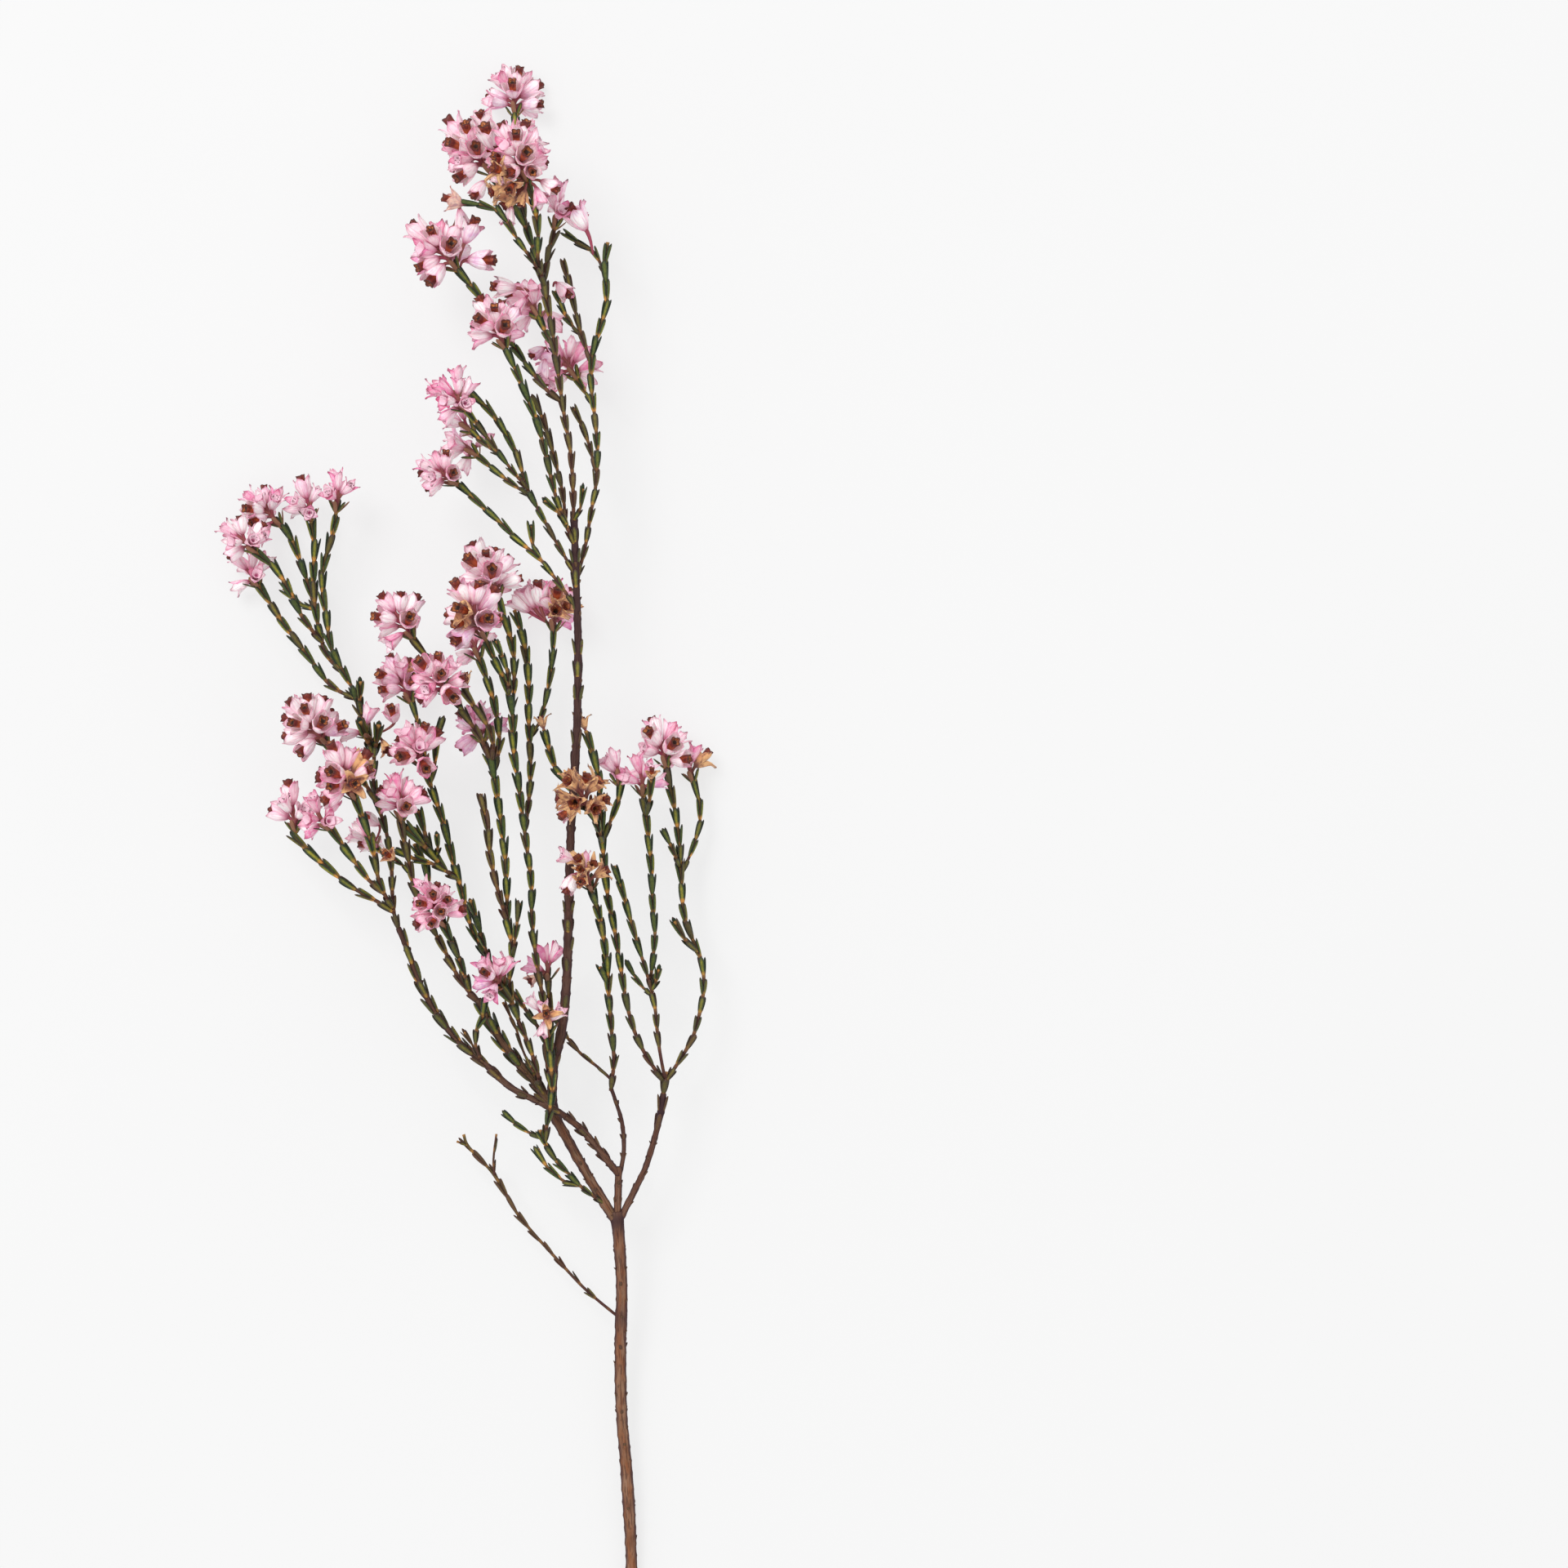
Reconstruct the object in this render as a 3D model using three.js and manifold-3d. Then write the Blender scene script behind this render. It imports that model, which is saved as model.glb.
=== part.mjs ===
// A cut stem of heath lying on a table: brown forked wood, leafy twigs and heads of small pink flowers.
// Millimetres. X runs across the spray, Y from the cut end to the top, Z up from the table.
import * as THREE from "three";
import { mergeVertices } from "three/addons/utils/BufferGeometryUtils.js";
import Module from "manifold-3d";

const wasm = await Module();
wasm.setup();

// The routes below start from the place where the stem leaves the lower edge of the view.
// This point of them lies under the middle of the whole plant, and becomes the origin.
const MIDDLE = new THREE.Vector3(-40.7, 176.7, 0);

// Wood
const WOOD_STEP = 13;
const WOOD_SIDES = 6;
const KNOB = 0.1;
// Leafy twigs
const WHORL_STEP = 10.6;
const JOINT_RADIUS = 0.5;
const LEAF_RADIUS = 1.05;
const NOTCH_RADIUS = 0.78;
const LEAF_TOP = 0.88;
const NOTCH_TOP = 0.66;
const BARE_RADIUS = 0.5;
// Flowers
const FLOWER_LENGTH = 5.6;
const MOUTH_RADIUS = 2.6;
const NOTCH_DEPTH_RADIUS = 1.6;
const NOTCH_SHARE = 0.76;
const CUP_SHARE = 0.62;
const BOX_RADIUS = 1.2;
const BOX_LENGTH = 2.6;
const CORE_RADIUS = 1.5;
const LEAST_APART = 3.5;
const GOLDEN_ANGLE = Math.PI * (3 - Math.sqrt(5));
// Room between neighbouring pieces
const GAP = 0.3;

// A number between 0 and 1 that is always the same for the same pair.
function chance(seed, index) {
  const wave = Math.sin(seed * 12.9898 + index * 78.233) * 43758.5453;
  return wave - Math.floor(wave);
}

// The wood. A route lists x, y and, at some points, the height z of the axis.
// Between two heights the axis rises evenly. Radii are at the start and the end.
const WOOD = {
  stem: {
    radii: [1.45, 1.38],
    route: [[0.4, -15, 1.45], [-0.3, 8], [-1.3, 24], [-2.3, 36], [-2.6, 52, 7], [-2.2, 68],
      [-2.8, 80], [-3.4, 87, 14]],
  },
  left_limb: {
    from: "stem",
    radii: [1.25, 1.15],
    route: [[-3.2, 84], [-7.8, 91.4], [-12.2, 99], [-16, 106], [-18.6, 111], [-19.6, 117, 18]],
  },
  trunk: {
    from: "left_limb",
    radii: [1.2, 0.85],
    route: [[-19.2, 112], [-18.6, 123], [-16.8, 131], [-15.4, 143, 23], [-14.8, 160], [-14.2, 180, 27],
      [-12.7, 205], [-12.4, 226, 28], [-12.9, 243], [-13.4, 257, 28]],
  },
  second_limb: {
    from: "left_limb",
    radii: [1.1, 0.9],
    route: [[-19.2, 113], [-23, 118.6], [-27, 123.4], [-31, 128.6], [-34.4, 134.4], [-37, 139.4, 24]],
  },
  centre_limb: {
    from: "stem",
    radii: [1.0, 0.8],
    route: [[-3.2, 84], [-3, 91], [-2.8, 98, 15.5]],
  },
  long_branch: {
    from: "centre_limb",
    radii: [0.85, 0.7],
    route: [[-2.8, 96], [-7.8, 102.6], [-12, 107.6, 20], [-17, 111.6, 22.5], [-22, 114.2, 22.5],
      [-29, 117.8], [-35.4, 123.6], [-41.6, 128.8, 22], [-47, 135.4], [-51, 142.6], [-54.4, 151.6],
      [-56.6, 156.8, 21]],
  },
  thin_centre: {
    from: "centre_limb",
    radii: [0.55, 0.48],
    route: [[-2.8, 95], [-1.6, 101.4], [-2, 108.6], [-3.4, 113.4], [-4.8, 117.4, 13]],
  },
  right_limb: {
    from: "stem",
    radii: [0.85, 0.66],
    route: [[-3, 84], [0.6, 91.2], [3.6, 97.4], [6, 105], [7.6, 111.6], [8.2, 116, 16]],
  },
};

// The leafy twigs, gathered in sprays: each spray is one piece. A twig grows from another
// twig of its spray, or from the wood for the first one. A scale under 1 makes a thin one.
const SPRAYS = {
  low_left_spray: {
    low: { from: "stem", scale: 0.8, leafFrom: 0.42, route: [[-2.4, 60], [-11.2, 67.4], [-18, 74.6],
      [-23.8, 81], [-28.2, 86.4], [-34, 96], [-40.4, 103.2, 9], [-41.2, 105.6, 9]] },
    low_fork: { from: "low", scale: 0.6, leafFrom: 1, route: [[-40, 102.8], [-42.8, 103.9, 10]] },
    low_side: { from: "low", scale: 0.6, leafFrom: 1, route: [[-33.6, 95.2], [-33.8, 99],
      [-33, 105.8, 12]] },
  },
  low_green_spray: {
    green: { from: "left_limb", route: [[-6, 88.6], [-11.2, 92.6, 18], [-15.2, 96.8], [-18, 99.8],
      [-21, 104.8], [-21.8, 107.4, 23]] },
    green_up: { from: "green", route: [[-20.6, 104.2], [-20.2, 108.4], [-19.2, 113.4, 26],
      [-18.7, 118.2], [-19, 123.2], [-19.4, 131, 29]] },
    green_left: { from: "green", scale: 0.9, route: [[-21.2, 105.2], [-25.8, 107.4],
      [-30.6, 111.2, 20]] },
    green_low: { from: "green", scale: 0.9, route: [[-12, 93.4], [-15.8, 94.4], [-18.8, 96.6],
      [-21.6, 99.6], [-22.6, 102.4, 15]] },
  },
  second_spray: {
    side_wood: { from: "second_limb", route: [[-36.4, 138.2], [-39.8, 142], [-43.2, 147.4],
      [-45.4, 152], [-48, 156.6, 24], [-50.6, 161.4], [-52.8, 168], [-54, 174.4], [-55.2, 180, 26],
      [-55.4, 183, 26]] },
    v_twig: { from: "side_wood", route: [[-38.8, 141], [-40.8, 147.6], [-43, 153.4],
      [-44.8, 157.6, 32]] },
    v_side: { from: "side_wood", route: [[-48.6, 157.6], [-50, 163], [-49.2, 168], [-50.6, 173],
      [-53, 177.2, 16]] },
    thin_tip: { from: "side_wood", scale: 0.7, route: [[-53, 169.4], [-55, 172, 26],
      [-57, 173.6, 29]] },
  },
  r_spray: {
    r_twig: { from: "left_limb", route: [[-19, 113.6], [-20.4, 123, 14.5], [-21.4, 130], [-24.4, 134.6],
      [-27.6, 139.2, 13.5], [-32.2, 145.4], [-35.4, 149.8], [-38, 154.4], [-40, 160, 16],
      [-41.4, 166.4], [-43.2, 172.4], [-45, 180], [-46.8, 186], [-49.4, 193.4, 20],
      [-50.4, 196.2, 22]] },
    n_back_twig: { from: "r_twig", scale: 0.8, route: [[-48.6, 191.6], [-50.6, 199.4, 13],
      [-51.6, 204.4], [-53, 209.4], [-54, 212, 11]] },
    r_side: { from: "r_twig", scale: 0.9, route: [[-48.8, 192], [-47.6, 198.4], [-47.6, 202.6],
      [-46.2, 207.4, 18]] },
    s_side: { from: "r_twig", route: [[-42, 168.6], [-44.8, 170.6, 20], [-48, 174.6], [-51, 178.4],
      [-52.6, 181, 20]] },
  },
  far_left_spray: {
    limb: { from: "long_branch", route: [[-56.4, 156.2], [-57.6, 160, 20.6], [-58.2, 165.4, 19],
      [-58.4, 171], [-59, 176], [-60, 181], [-61.6, 186], [-63, 192, 15], [-63, 199], [-64.6, 205.8],
      [-66.6, 210], [-68, 214.6], [-69.6, 217.8, 12], [-72, 222], [-73.8, 226], [-74.8, 233],
      [-75.8, 240, 12], [-75.6, 245], [-74.2, 250], [-72.9, 254.5], [-72.2, 259, 15]] },
    j2: { from: "limb", route: [[-70.2, 219], [-74.8, 223.6, 9.5], [-76.8, 230], [-77.8, 236],
      [-78.2, 244, 9], [-77.9, 250.4], [-78.8, 257, 10]] },
    j3: { from: "j2", route: [[-77.4, 233.4], [-79.6, 241, 7], [-82, 248], [-84.4, 253.6],
      [-86.4, 255.8, 7]] },
    j3_left: { from: "j2", route: [[-75.8, 226.6], [-78.8, 230.4, 12], [-81.6, 234.6], [-84, 239.8],
      [-87.1, 244.7], [-91.8, 249, 14]] },
    j_side: { from: "j3", scale: 0.9, route: [[-78, 235], [-82, 236.8, 5], [-86, 240.4, 4.4]] },
    j4: { from: "limb", route: [[-67.4, 212.8], [-73.8, 216.2, 10], [-78.4, 222], [-83, 228],
      [-86, 232], [-89, 236.6], [-91.8, 240.8, 7]] },
    j_stub: { from: "limb", scale: 0.9, route: [[-66, 208.8], [-66.4, 212.6], [-66, 217, 18]] },
    u_back: { from: "limb", scale: 0.8, route: [[-58.6, 173], [-61.4, 175.4, 13], [-63, 176.8, 10]] },
    p_twig: { from: "limb", route: [[-61.8, 187], [-66, 193.4, 18], [-70.7, 197.7], [-74, 201.6, 20]] },
    r_left: { from: "limb", scale: 0.8, route: [[-63.2, 200.4], [-62.8, 202.2, 17], [-64, 203.6, 18]] },
    q_twig: { from: "limb", route: [[-57.9, 161.4], [-60.4, 166.4, 24], [-61.6, 170.4], [-62.4, 175.4],
      [-63.6, 180.2, 27], [-65.2, 184.6], [-66.6, 188.4, 30]] },
    u_twig: { from: "q_twig", route: [[-59.8, 165], [-63.8, 168.8, 25], [-66.2, 172], [-68.8, 175.4],
      [-70.8, 178.4], [-73, 181, 26]] },
    t_twig: { from: "limb", route: [[-57.6, 160.4], [-61.4, 163, 20.5], [-65.4, 165.2, 20.5],
      [-69.6, 167.8], [-72.8, 170.6], [-76, 173], [-79, 176], [-81.9, 179.1], [-82, 180.2, 18]] },
  },
  centre_left_spray: {
    c_base: { from: "second_limb", route: [[-22.4, 117.6], [-22.4, 121.4, 22.5], [-24.8, 129, 25],
      [-28, 137], [-29.2, 144], [-28.4, 151.4, 27], [-29.4, 157.6], [-29.9, 168], [-30.3, 175.2, 27],
      [-31.2, 182.4], [-32.4, 191], [-33.8, 199, 27]] },
    c_dark: { from: "c_base", route: [[-29.6, 158], [-31.8, 166, 30], [-33.6, 174], [-34.4, 182],
      [-36, 189.6, 30]] },
    c_thin: { from: "c_base", scale: 0.8, route: [[-28.5, 150], [-27.4, 156, 31], [-26.6, 163, 32]] },
    k_twig: { from: "c_base", route: [[-33.4, 197.4], [-36, 203, 29], [-40.2, 209.4],
      [-42, 213.4, 28.5], [-45.8, 218.8, 26], [-48.8, 222.4], [-51.5, 225.7], [-52.6, 227.4, 27]] },
    n_dark: { from: "c_base", route: [[-33.4, 197.4], [-33, 203, 32], [-35.4, 208.2], [-38.8, 213, 34],
      [-39.2, 215.8, 34]] },
    n_front_twig: { from: "k_twig", scale: 0.9, route: [[-40.6, 210.2], [-42.4, 212.4, 34],
      [-43.6, 214, 36]] },
    o_twig: { from: "c_base", scale: 0.8, route: [[-32.8, 193], [-34.6, 198, 22], [-36, 202.4, 18]] },
    lc_twig: { from: "c_base", route: [[-33, 194.6], [-31.8, 202, 22], [-33.4, 212.4], [-35.6, 219],
      [-37, 222.6, 15]] },
    aa1_twig: { from: "c_base", scale: 0.8, route: [[-28.6, 139.4], [-30, 142, 28], [-30.8, 143, 30]] },
  },
  centre_spray: {
    cc: { from: "trunk", route: [[-18.4, 124], [-19.2, 130, 23], [-20.8, 138], [-22.2, 146, 24],
      [-23.2, 153], [-23.8, 160], [-23.9, 168, 25], [-24.8, 175.2], [-25.6, 181.2], [-26.4, 187.4],
      [-27.2, 193.4], [-28.2, 200.4, 26], [-28.3, 207], [-28.8, 212], [-30.2, 217], [-32.8, 222.4, 29],
      [-35, 227.6, 31]] },
    cc_right: { from: "cc", route: [[-28.5, 209.6], [-28.2, 217, 22], [-28.4, 224], [-29.8, 230, 19],
      [-31.4, 234.6], [-32.4, 237.4, 18]] },
    cc_beside: { from: "cc", scale: 0.8, route: [[-29.2, 213.4], [-29.6, 220, 33], [-32, 226.6, 36]] },
    ce: { from: "cc", route: [[-25.5, 180.2], [-24.6, 189, 20], [-24.4, 198, 17], [-24.9, 208],
      [-25, 218, 14], [-26.4, 228, 12], [-28.6, 234.8, 11]] },
    m_twig: { from: "ce", scale: 0.8, route: [[-24.7, 203], [-22.2, 207.6, 13], [-20.6, 214, 11],
      [-19.4, 221.7], [-19, 229.6, 9.5]] },
  },
  upper_fan_spray: {
    fan_high: { from: "trunk", scale: 0.85, route: [[-13, 243], [-17.4, 250.4, 27], [-20, 255],
      [-22, 258.6], [-25, 264.6, 25], [-27, 271], [-29.6, 276.6], [-33.6, 282.6], [-38, 286.6, 23],
      [-39.6, 287, 23]] },
    fan_middle: { from: "fan_high", scale: 0.8, route: [[-24.6, 263.8], [-28.6, 268.6, 28],
      [-31.8, 272.8], [-35.8, 278.2], [-39.4, 282.8, 31]] },
    fan_side: { from: "fan_middle", scale: 0.75, route: [[-31, 271.8], [-35, 274.8, 26],
      [-38.4, 278.2, 22]] },
    fan_lower: { from: "fan_high", scale: 0.8, route: [[-23.8, 262], [-28.6, 265.4, 21], [-33, 268.8],
      [-37.4, 272.6, 16]] },
  },
  lower_fan_spray: {
    fan: { from: "trunk", scale: 0.85, route: [[-12.8, 235], [-18.2, 242.4, 26], [-22.4, 247.6],
      [-26.6, 251], [-31.6, 256, 23], [-35.8, 259.8], [-40.3, 264, 22], [-42.2, 265.4, 22.5]] },
    fan_tip: { from: "fan", scale: 0.9, route: [[-21.6, 246.8], [-23.6, 250.4, 22], [-24.2, 255, 19]] },
  },
  crown_left_spray: {
    pair_left: { from: "trunk", scale: 0.95, route: [[-13.2, 250], [-16, 257, 31], [-18, 263],
      [-19.6, 270], [-21.6, 278, 33], [-25, 287], [-27.6, 293], [-29.8, 297.8, 33]] },
    pair_right: { from: "pair_left", scale: 0.85, route: [[-15.4, 255.6], [-16, 262, 28],
      [-17.6, 269, 26], [-20.4, 279, 25], [-23.2, 286.4, 25]] },
    pair_stub: { from: "pair_left", scale: 0.8, route: [[-15, 255], [-17.8, 258.8, 35],
      [-20.4, 260.6, 36]] },
  },
  crown_spray: {
    middle: { from: "trunk", scale: 0.95, route: [[-13.4, 254], [-13.6, 264, 29], [-14.2, 273],
      [-15.6, 281, 29], [-17.2, 292], [-18.8, 303.4, 28], [-20.2, 311], [-20.6, 316.4, 26],
      [-19.8, 321], [-18.8, 325.4, 21], [-18.4, 328, 20]] },
    to_b: { from: "middle", route: [[-20.1, 310.4], [-21.6, 316, 22], [-24, 324.4], [-26.8, 331],
      [-30, 336], [-34, 341.4, 20]] },
    to_c: { from: "middle", route: [[-20.4, 313], [-22, 319.4, 31], [-22, 327], [-23.2, 334],
      [-24.8, 338.6, 33]] },
    to_a: { from: "to_b", route: [[-25, 327], [-26.2, 334, 15], [-26.9, 345.2, 11],
      [-27.4, 355.8, 6]] },
    to_bud: { from: "to_c", scale: 0.8, route: [[-21.2, 316], [-24, 320, 34], [-27.4, 325, 36],
      [-31.4, 330.8], [-36, 332.6], [-40.4, 333.2, 34]] },
    to_e: { from: "middle", route: [[-16.2, 285], [-19.8, 287.8, 29], [-23.6, 292.4],
      [-27.8, 298.4, 24], [-32, 304.4], [-36.8, 311.5, 24], [-42, 317.6, 24]] },
    to_f: { from: "middle", scale: 0.9, route: [[-17.8, 296.4], [-20.6, 302.6, 20],
      [-22.4, 306.4, 16]] },
    crown_stub: { from: "middle", scale: 0.7, route: [[-13.5, 256], [-11.6, 259.4, 32],
      [-11, 263.6, 34]] },
  },
  crown_right_spray: {
    outer: { from: "trunk", scale: 0.9, route: [[-12.6, 242], [-10.6, 250.6, 25], [-9.4, 258],
      [-8.2, 265], [-7.8, 273], [-8.4, 281, 22], [-9.4, 290], [-9, 297.4], [-7.4, 303], [-5.8, 309, 20],
      [-5.8, 315], [-6.2, 319.6], [-5.4, 324.8, 18]] },
    outer_tip: { from: "outer", scale: 0.8, route: [[-6.2, 317], [-8.8, 322.6, 14], [-12, 324.8, 12],
      [-16, 327.6, 10]] },
    inner: { from: "outer", scale: 0.85, route: [[-9.2, 294.4], [-11.4, 300.8, 19], [-13.4, 308],
      [-15, 315, 16], [-16.6, 320.6, 14]] },
    inner_low: { from: "inner", scale: 0.8, route: [[-11.8, 301.8], [-15, 305.6, 15], [-17, 309.6, 12],
      [-18.6, 313.4, 10]] },
    to_h: { from: "outer", scale: 0.8, route: [[-8.8, 284.4], [-11.2, 288.4, 17], [-13, 291.4, 15]] },
    low_tip: { from: "outer", scale: 0.8, route: [[-8, 268], [-10.8, 277.6, 19], [-13.6, 284, 18]] },
  },
  right_spray: {
    fork: { from: "right_limb", leafFrom: 1, scale: 1.2, route: [[8.1, 115.4], [8.6, 119],
      [8.8, 121.4, 16.4]] },
    tall: { from: "fork", route: [[8.5, 118.6], [5, 123.8, 18], [2.6, 128], [0.6, 133], [-1, 139.6],
      [-2.6, 149.6, 20], [-3.8, 157], [-5.2, 164, 22], [-6.2, 173], [-6.8, 183, 24], [-7.2, 192],
      [-9, 200], [-10.6, 205, 26]] },
    w_twig: { from: "tall", scale: 0.9, route: [[-6.5, 177.4], [-7.8, 182.4, 31], [-9.6, 186, 35]] },
    leaf_twig: { from: "tall", route: [[-6.5, 178.6], [-10, 186, 18], [-15, 191.6, 14], [-18.2, 195.6],
      [-19.8, 200], [-21.2, 205.4, 15]] },
    z_twig: { from: "tall", scale: 0.9, route: [[-6.5, 177.8], [-4.2, 184, 23], [-2.4, 188.8, 22],
      [-2.6, 191.8, 20]] },
    mid: { from: "fork", scale: 0.9, leafFrom: 0.12, route: [[8.6, 119.6], [7.9, 123.4, 19], [7, 129],
      [6.2, 137.4, 20], [5.2, 143], [5.8, 150, 20], [6.2, 156], [5.6, 163], [5.4, 170, 20], [4.8, 177],
      [4.2, 183], [3.4, 187.6, 20], [3.3, 189.2, 20]] },
    mid_left: { from: "mid", scale: 0.85, route: [[5.6, 141], [3.8, 147.2, 23], [1, 156.4, 25],
      [-1.6, 165.8, 26], [-3.6, 172, 28]] },
    mid_tip: { from: "mid", scale: 0.9, route: [[4, 184], [5, 188.4, 24], [5.4, 193, 27]] },
    mid_stub: { from: "mid", scale: 0.7, route: [[5.8, 139.8], [2.4, 143, 17], [-0.8, 148, 15]] },
    mid_short: { from: "mid", scale: 0.8, route: [[5.4, 141.4], [6.6, 144, 22.5], [7.2, 146.6, 24]] },
    outer_right: { from: "fork", scale: 0.95, route: [[8.6, 118.8], [12.6, 124.8, 14.6], [15.2, 129.4],
      [16.8, 134.6], [18, 141.4, 12], [17.6, 148], [15, 154.4], [13.2, 159.4, 11], [12.6, 167, 10],
      [12.2, 172], [12, 178, 11], [11.2, 184], [10, 190, 11], [8.8, 196, 10]] },
    y3_twig: { from: "outer_right", scale: 0.8, route: [[12.4, 169.6], [15.2, 176, 7.4],
      [17, 182.4, 6.4], [16.8, 188], [15.4, 192.6, 6]] },
    right_tip: { from: "outer_right", scale: 0.8, route: [[12.2, 171.4], [10.6, 175.4, 14],
      [8.2, 180.6, 15.5]] },
    right_stub: { from: "outer_right", scale: 0.9, route: [[16.8, 150.4], [13.2, 154.2, 15],
      [11, 158.2, 17]] },
  },
  x_spray: {
    up: { from: "thin_centre", route: [[-4.8, 116.6], [-4, 124, 15], [-4.6, 132.4], [-5.2, 141, 19],
      [-5.6, 149], [-7, 158.6, 26], [-9, 166.4, 32]] },
    across: { from: "up", scale: 0.8, leafFrom: 0.34, route: [[-4.5, 119.2], [-8, 122.4, 13.5],
      [-12, 125.6, 14.5], [-16.6, 131.4, 16], [-18.6, 134.6, 16], [-19.8, 139, 17], [-20, 144, 19]] },
  },
};

// The flower heads: the twig that carries each, how many flowers, how wide they spread from
// the twig's line in degrees, their size, and the share of them with a withered brown box.
const HEADS = {
  head_a: { twig: "to_a", flowers: 8, spread: 105, size: 1.12, reach: 4.4, boxes: 0.5 },
  head_b: { twig: "to_b", flowers: 8, spread: 112, size: 1.25, reach: 6, boxes: 0.8 },
  head_c: { twig: "to_c", flowers: 8, spread: 112, size: 1.2, reach: 5.5, boxes: 0.6 },
  head_d: { twig: "middle", flowers: 5, spread: 90, size: 1.1, reach: 4, boxes: 0.5 },
  head_e: { twig: "to_e", flowers: 8, spread: 128, size: 1.3, reach: 5, boxes: 0.55 },
  head_f: { twig: "to_f", flowers: 7, spread: 110, size: 1.15, reach: 4, boxes: 0.35 },
  head_g: { twig: "pair_left", flowers: 7, spread: 108, size: 1.15, reach: 4, boxes: 0.6 },
  head_h: { twig: "to_h", flowers: 7, spread: 112, size: 1.15, reach: 4, boxes: 0.1 },
  head_i1: { twig: "fan_high", flowers: 4, spread: 85, size: 1.0, reach: 2, boxes: 0 },
  head_i2: { twig: "fan_middle", flowers: 5, spread: 95, boxes: 0.1 },
  head_i3: { twig: "fan_side", flowers: 4, spread: 95, size: 0.9, boxes: 0.1 },
  head_i4: { twig: "fan_lower", flowers: 5, spread: 100, boxes: 0.2 },
  head_i5: { twig: "fan", flowers: 6, spread: 100, size: 1.0, reach: 3, boxes: 0.35 },
  head_j1: { twig: "limb", flowers: 4, spread: 95, boxes: 0 },
  head_j2: { twig: "j2", flowers: 5, spread: 95, boxes: 0.1 },
  head_j3: { twig: "j3", flowers: 7, spread: 108, size: 1.05, reach: 4, boxes: 0.4 },
  head_j3_left: { twig: "j3_left", flowers: 6, spread: 105, size: 1.0, reach: 3, boxes: 0.5 },
  head_j4: { twig: "j4", flowers: 5, spread: 95, boxes: 0.1 },
  head_k: { twig: "k_twig", flowers: 7, spread: 100, size: 1.1, reach: 4.5, boxes: 0.5 },
  head_l_high: { twig: "cc_right", flowers: 8, spread: 108, size: 1.2, reach: 5, boxes: 0.6 },
  head_l_low: { twig: "cc", flowers: 8, spread: 112, size: 1.25, reach: 6, boxes: 0.6 },
  head_l_side: { twig: "lc_twig", flowers: 5, spread: 95, size: 1.0, reach: 2.5, boxes: 0.1 },
  head_m: { twig: "m_twig", flowers: 7, spread: 100, size: 1.1, reach: 4, boxes: 0.2 },
  head_n: { twig: "n_front_twig", flowers: 7, spread: 105, size: 1.15, reach: 4.5, boxes: 0.5 },
  head_n_back: { twig: "n_back_twig", flowers: 7, spread: 112, size: 1.1, reach: 4, boxes: 0.4 },
  head_o: { twig: "o_twig", flowers: 6, spread: 105, size: 1.1, reach: 3, boxes: 0.45 },
  head_p: { twig: "p_twig", flowers: 8, spread: 110, size: 1.2, reach: 5, boxes: 0.65 },
  head_q: { twig: "q_twig", flowers: 8, spread: 112, size: 1.2, reach: 5, boxes: 0.65 },
  head_r: { twig: "r_twig", flowers: 6, spread: 100, size: 1.1, reach: 3.5, boxes: 0.5 },
  head_r_left: { twig: "r_left", flowers: 4, spread: 80, boxes: 0.5 },
  head_s: { twig: "side_wood", flowers: 6, spread: 100, size: 1.1, reach: 3.5, boxes: 0.2 },
  head_t: { twig: "t_twig", flowers: 6, spread: 80, size: 1.1, reach: 3, boxes: 0.65 },
  head_u: { twig: "u_twig", flowers: 5, spread: 100, boxes: 0 },
  head_u_back: { twig: "u_back", flowers: 4, spread: 95, boxes: 0.5 },
  head_v: { twig: "v_twig", flowers: 7, spread: 108, size: 1.15, reach: 3, boxes: 0.7 },
  head_w: { twig: "w_twig", flowers: 7, spread: 105, size: 1.15, reach: 4, boxes: 0.3 },
  head_x: { twig: "up", flowers: 6, spread: 105, size: 1.1, reach: 4, boxes: 0.3 },
  head_z: { twig: "z_twig", flowers: 4, spread: 90, boxes: 0 },
  head_y1: { twig: "outer_right", flowers: 7, spread: 105, size: 1.15, reach: 4, boxes: 0.5 },
  head_y2: { twig: "mid", flowers: 4, spread: 95, boxes: 0 },
  head_y3: { twig: "y3_twig", flowers: 5, spread: 80, boxes: 0.2 },
  head_aa1: { twig: "aa1_twig", flowers: 5, spread: 100, boxes: 0.1 },
  head_aa2: { twig: "across", flowers: 4, spread: 85, boxes: 0.1 },
  head_aa3: { twig: "green_up", flowers: 5, spread: 105, boxes: 0.1 },
};

const FINISH = {
  wood: { color: 0x6b4a3c, roughness: 0.85, metalness: 0 },
  leaf: { color: 0x3d4a24, roughness: 0.6, metalness: 0 },
  petal: { color: 0xdba4bd, roughness: 0.6, metalness: 0 },
};

// The closed surface through rings of points, each ring with the same number of points.
function skin(rings) {
  const sides = rings[0].length;
  const points = rings.flat();
  const faces = [];
  for (let r = 0; r < rings.length - 1; r++) {
    for (let i = 0; i < sides; i++) {
      const a = r * sides + i;
      const b = r * sides + ((i + 1) % sides);
      faces.push(a, b, b + sides, a, b + sides, a + sides);
    }
  }
  const last = (rings.length - 1) * sides;
  for (let i = 1; i < sides - 1; i++) {
    faces.push(0, i + 1, i);
    faces.push(last, last + i, last + i + 1);
  }
  return solidOf(points, faces);
}

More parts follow.
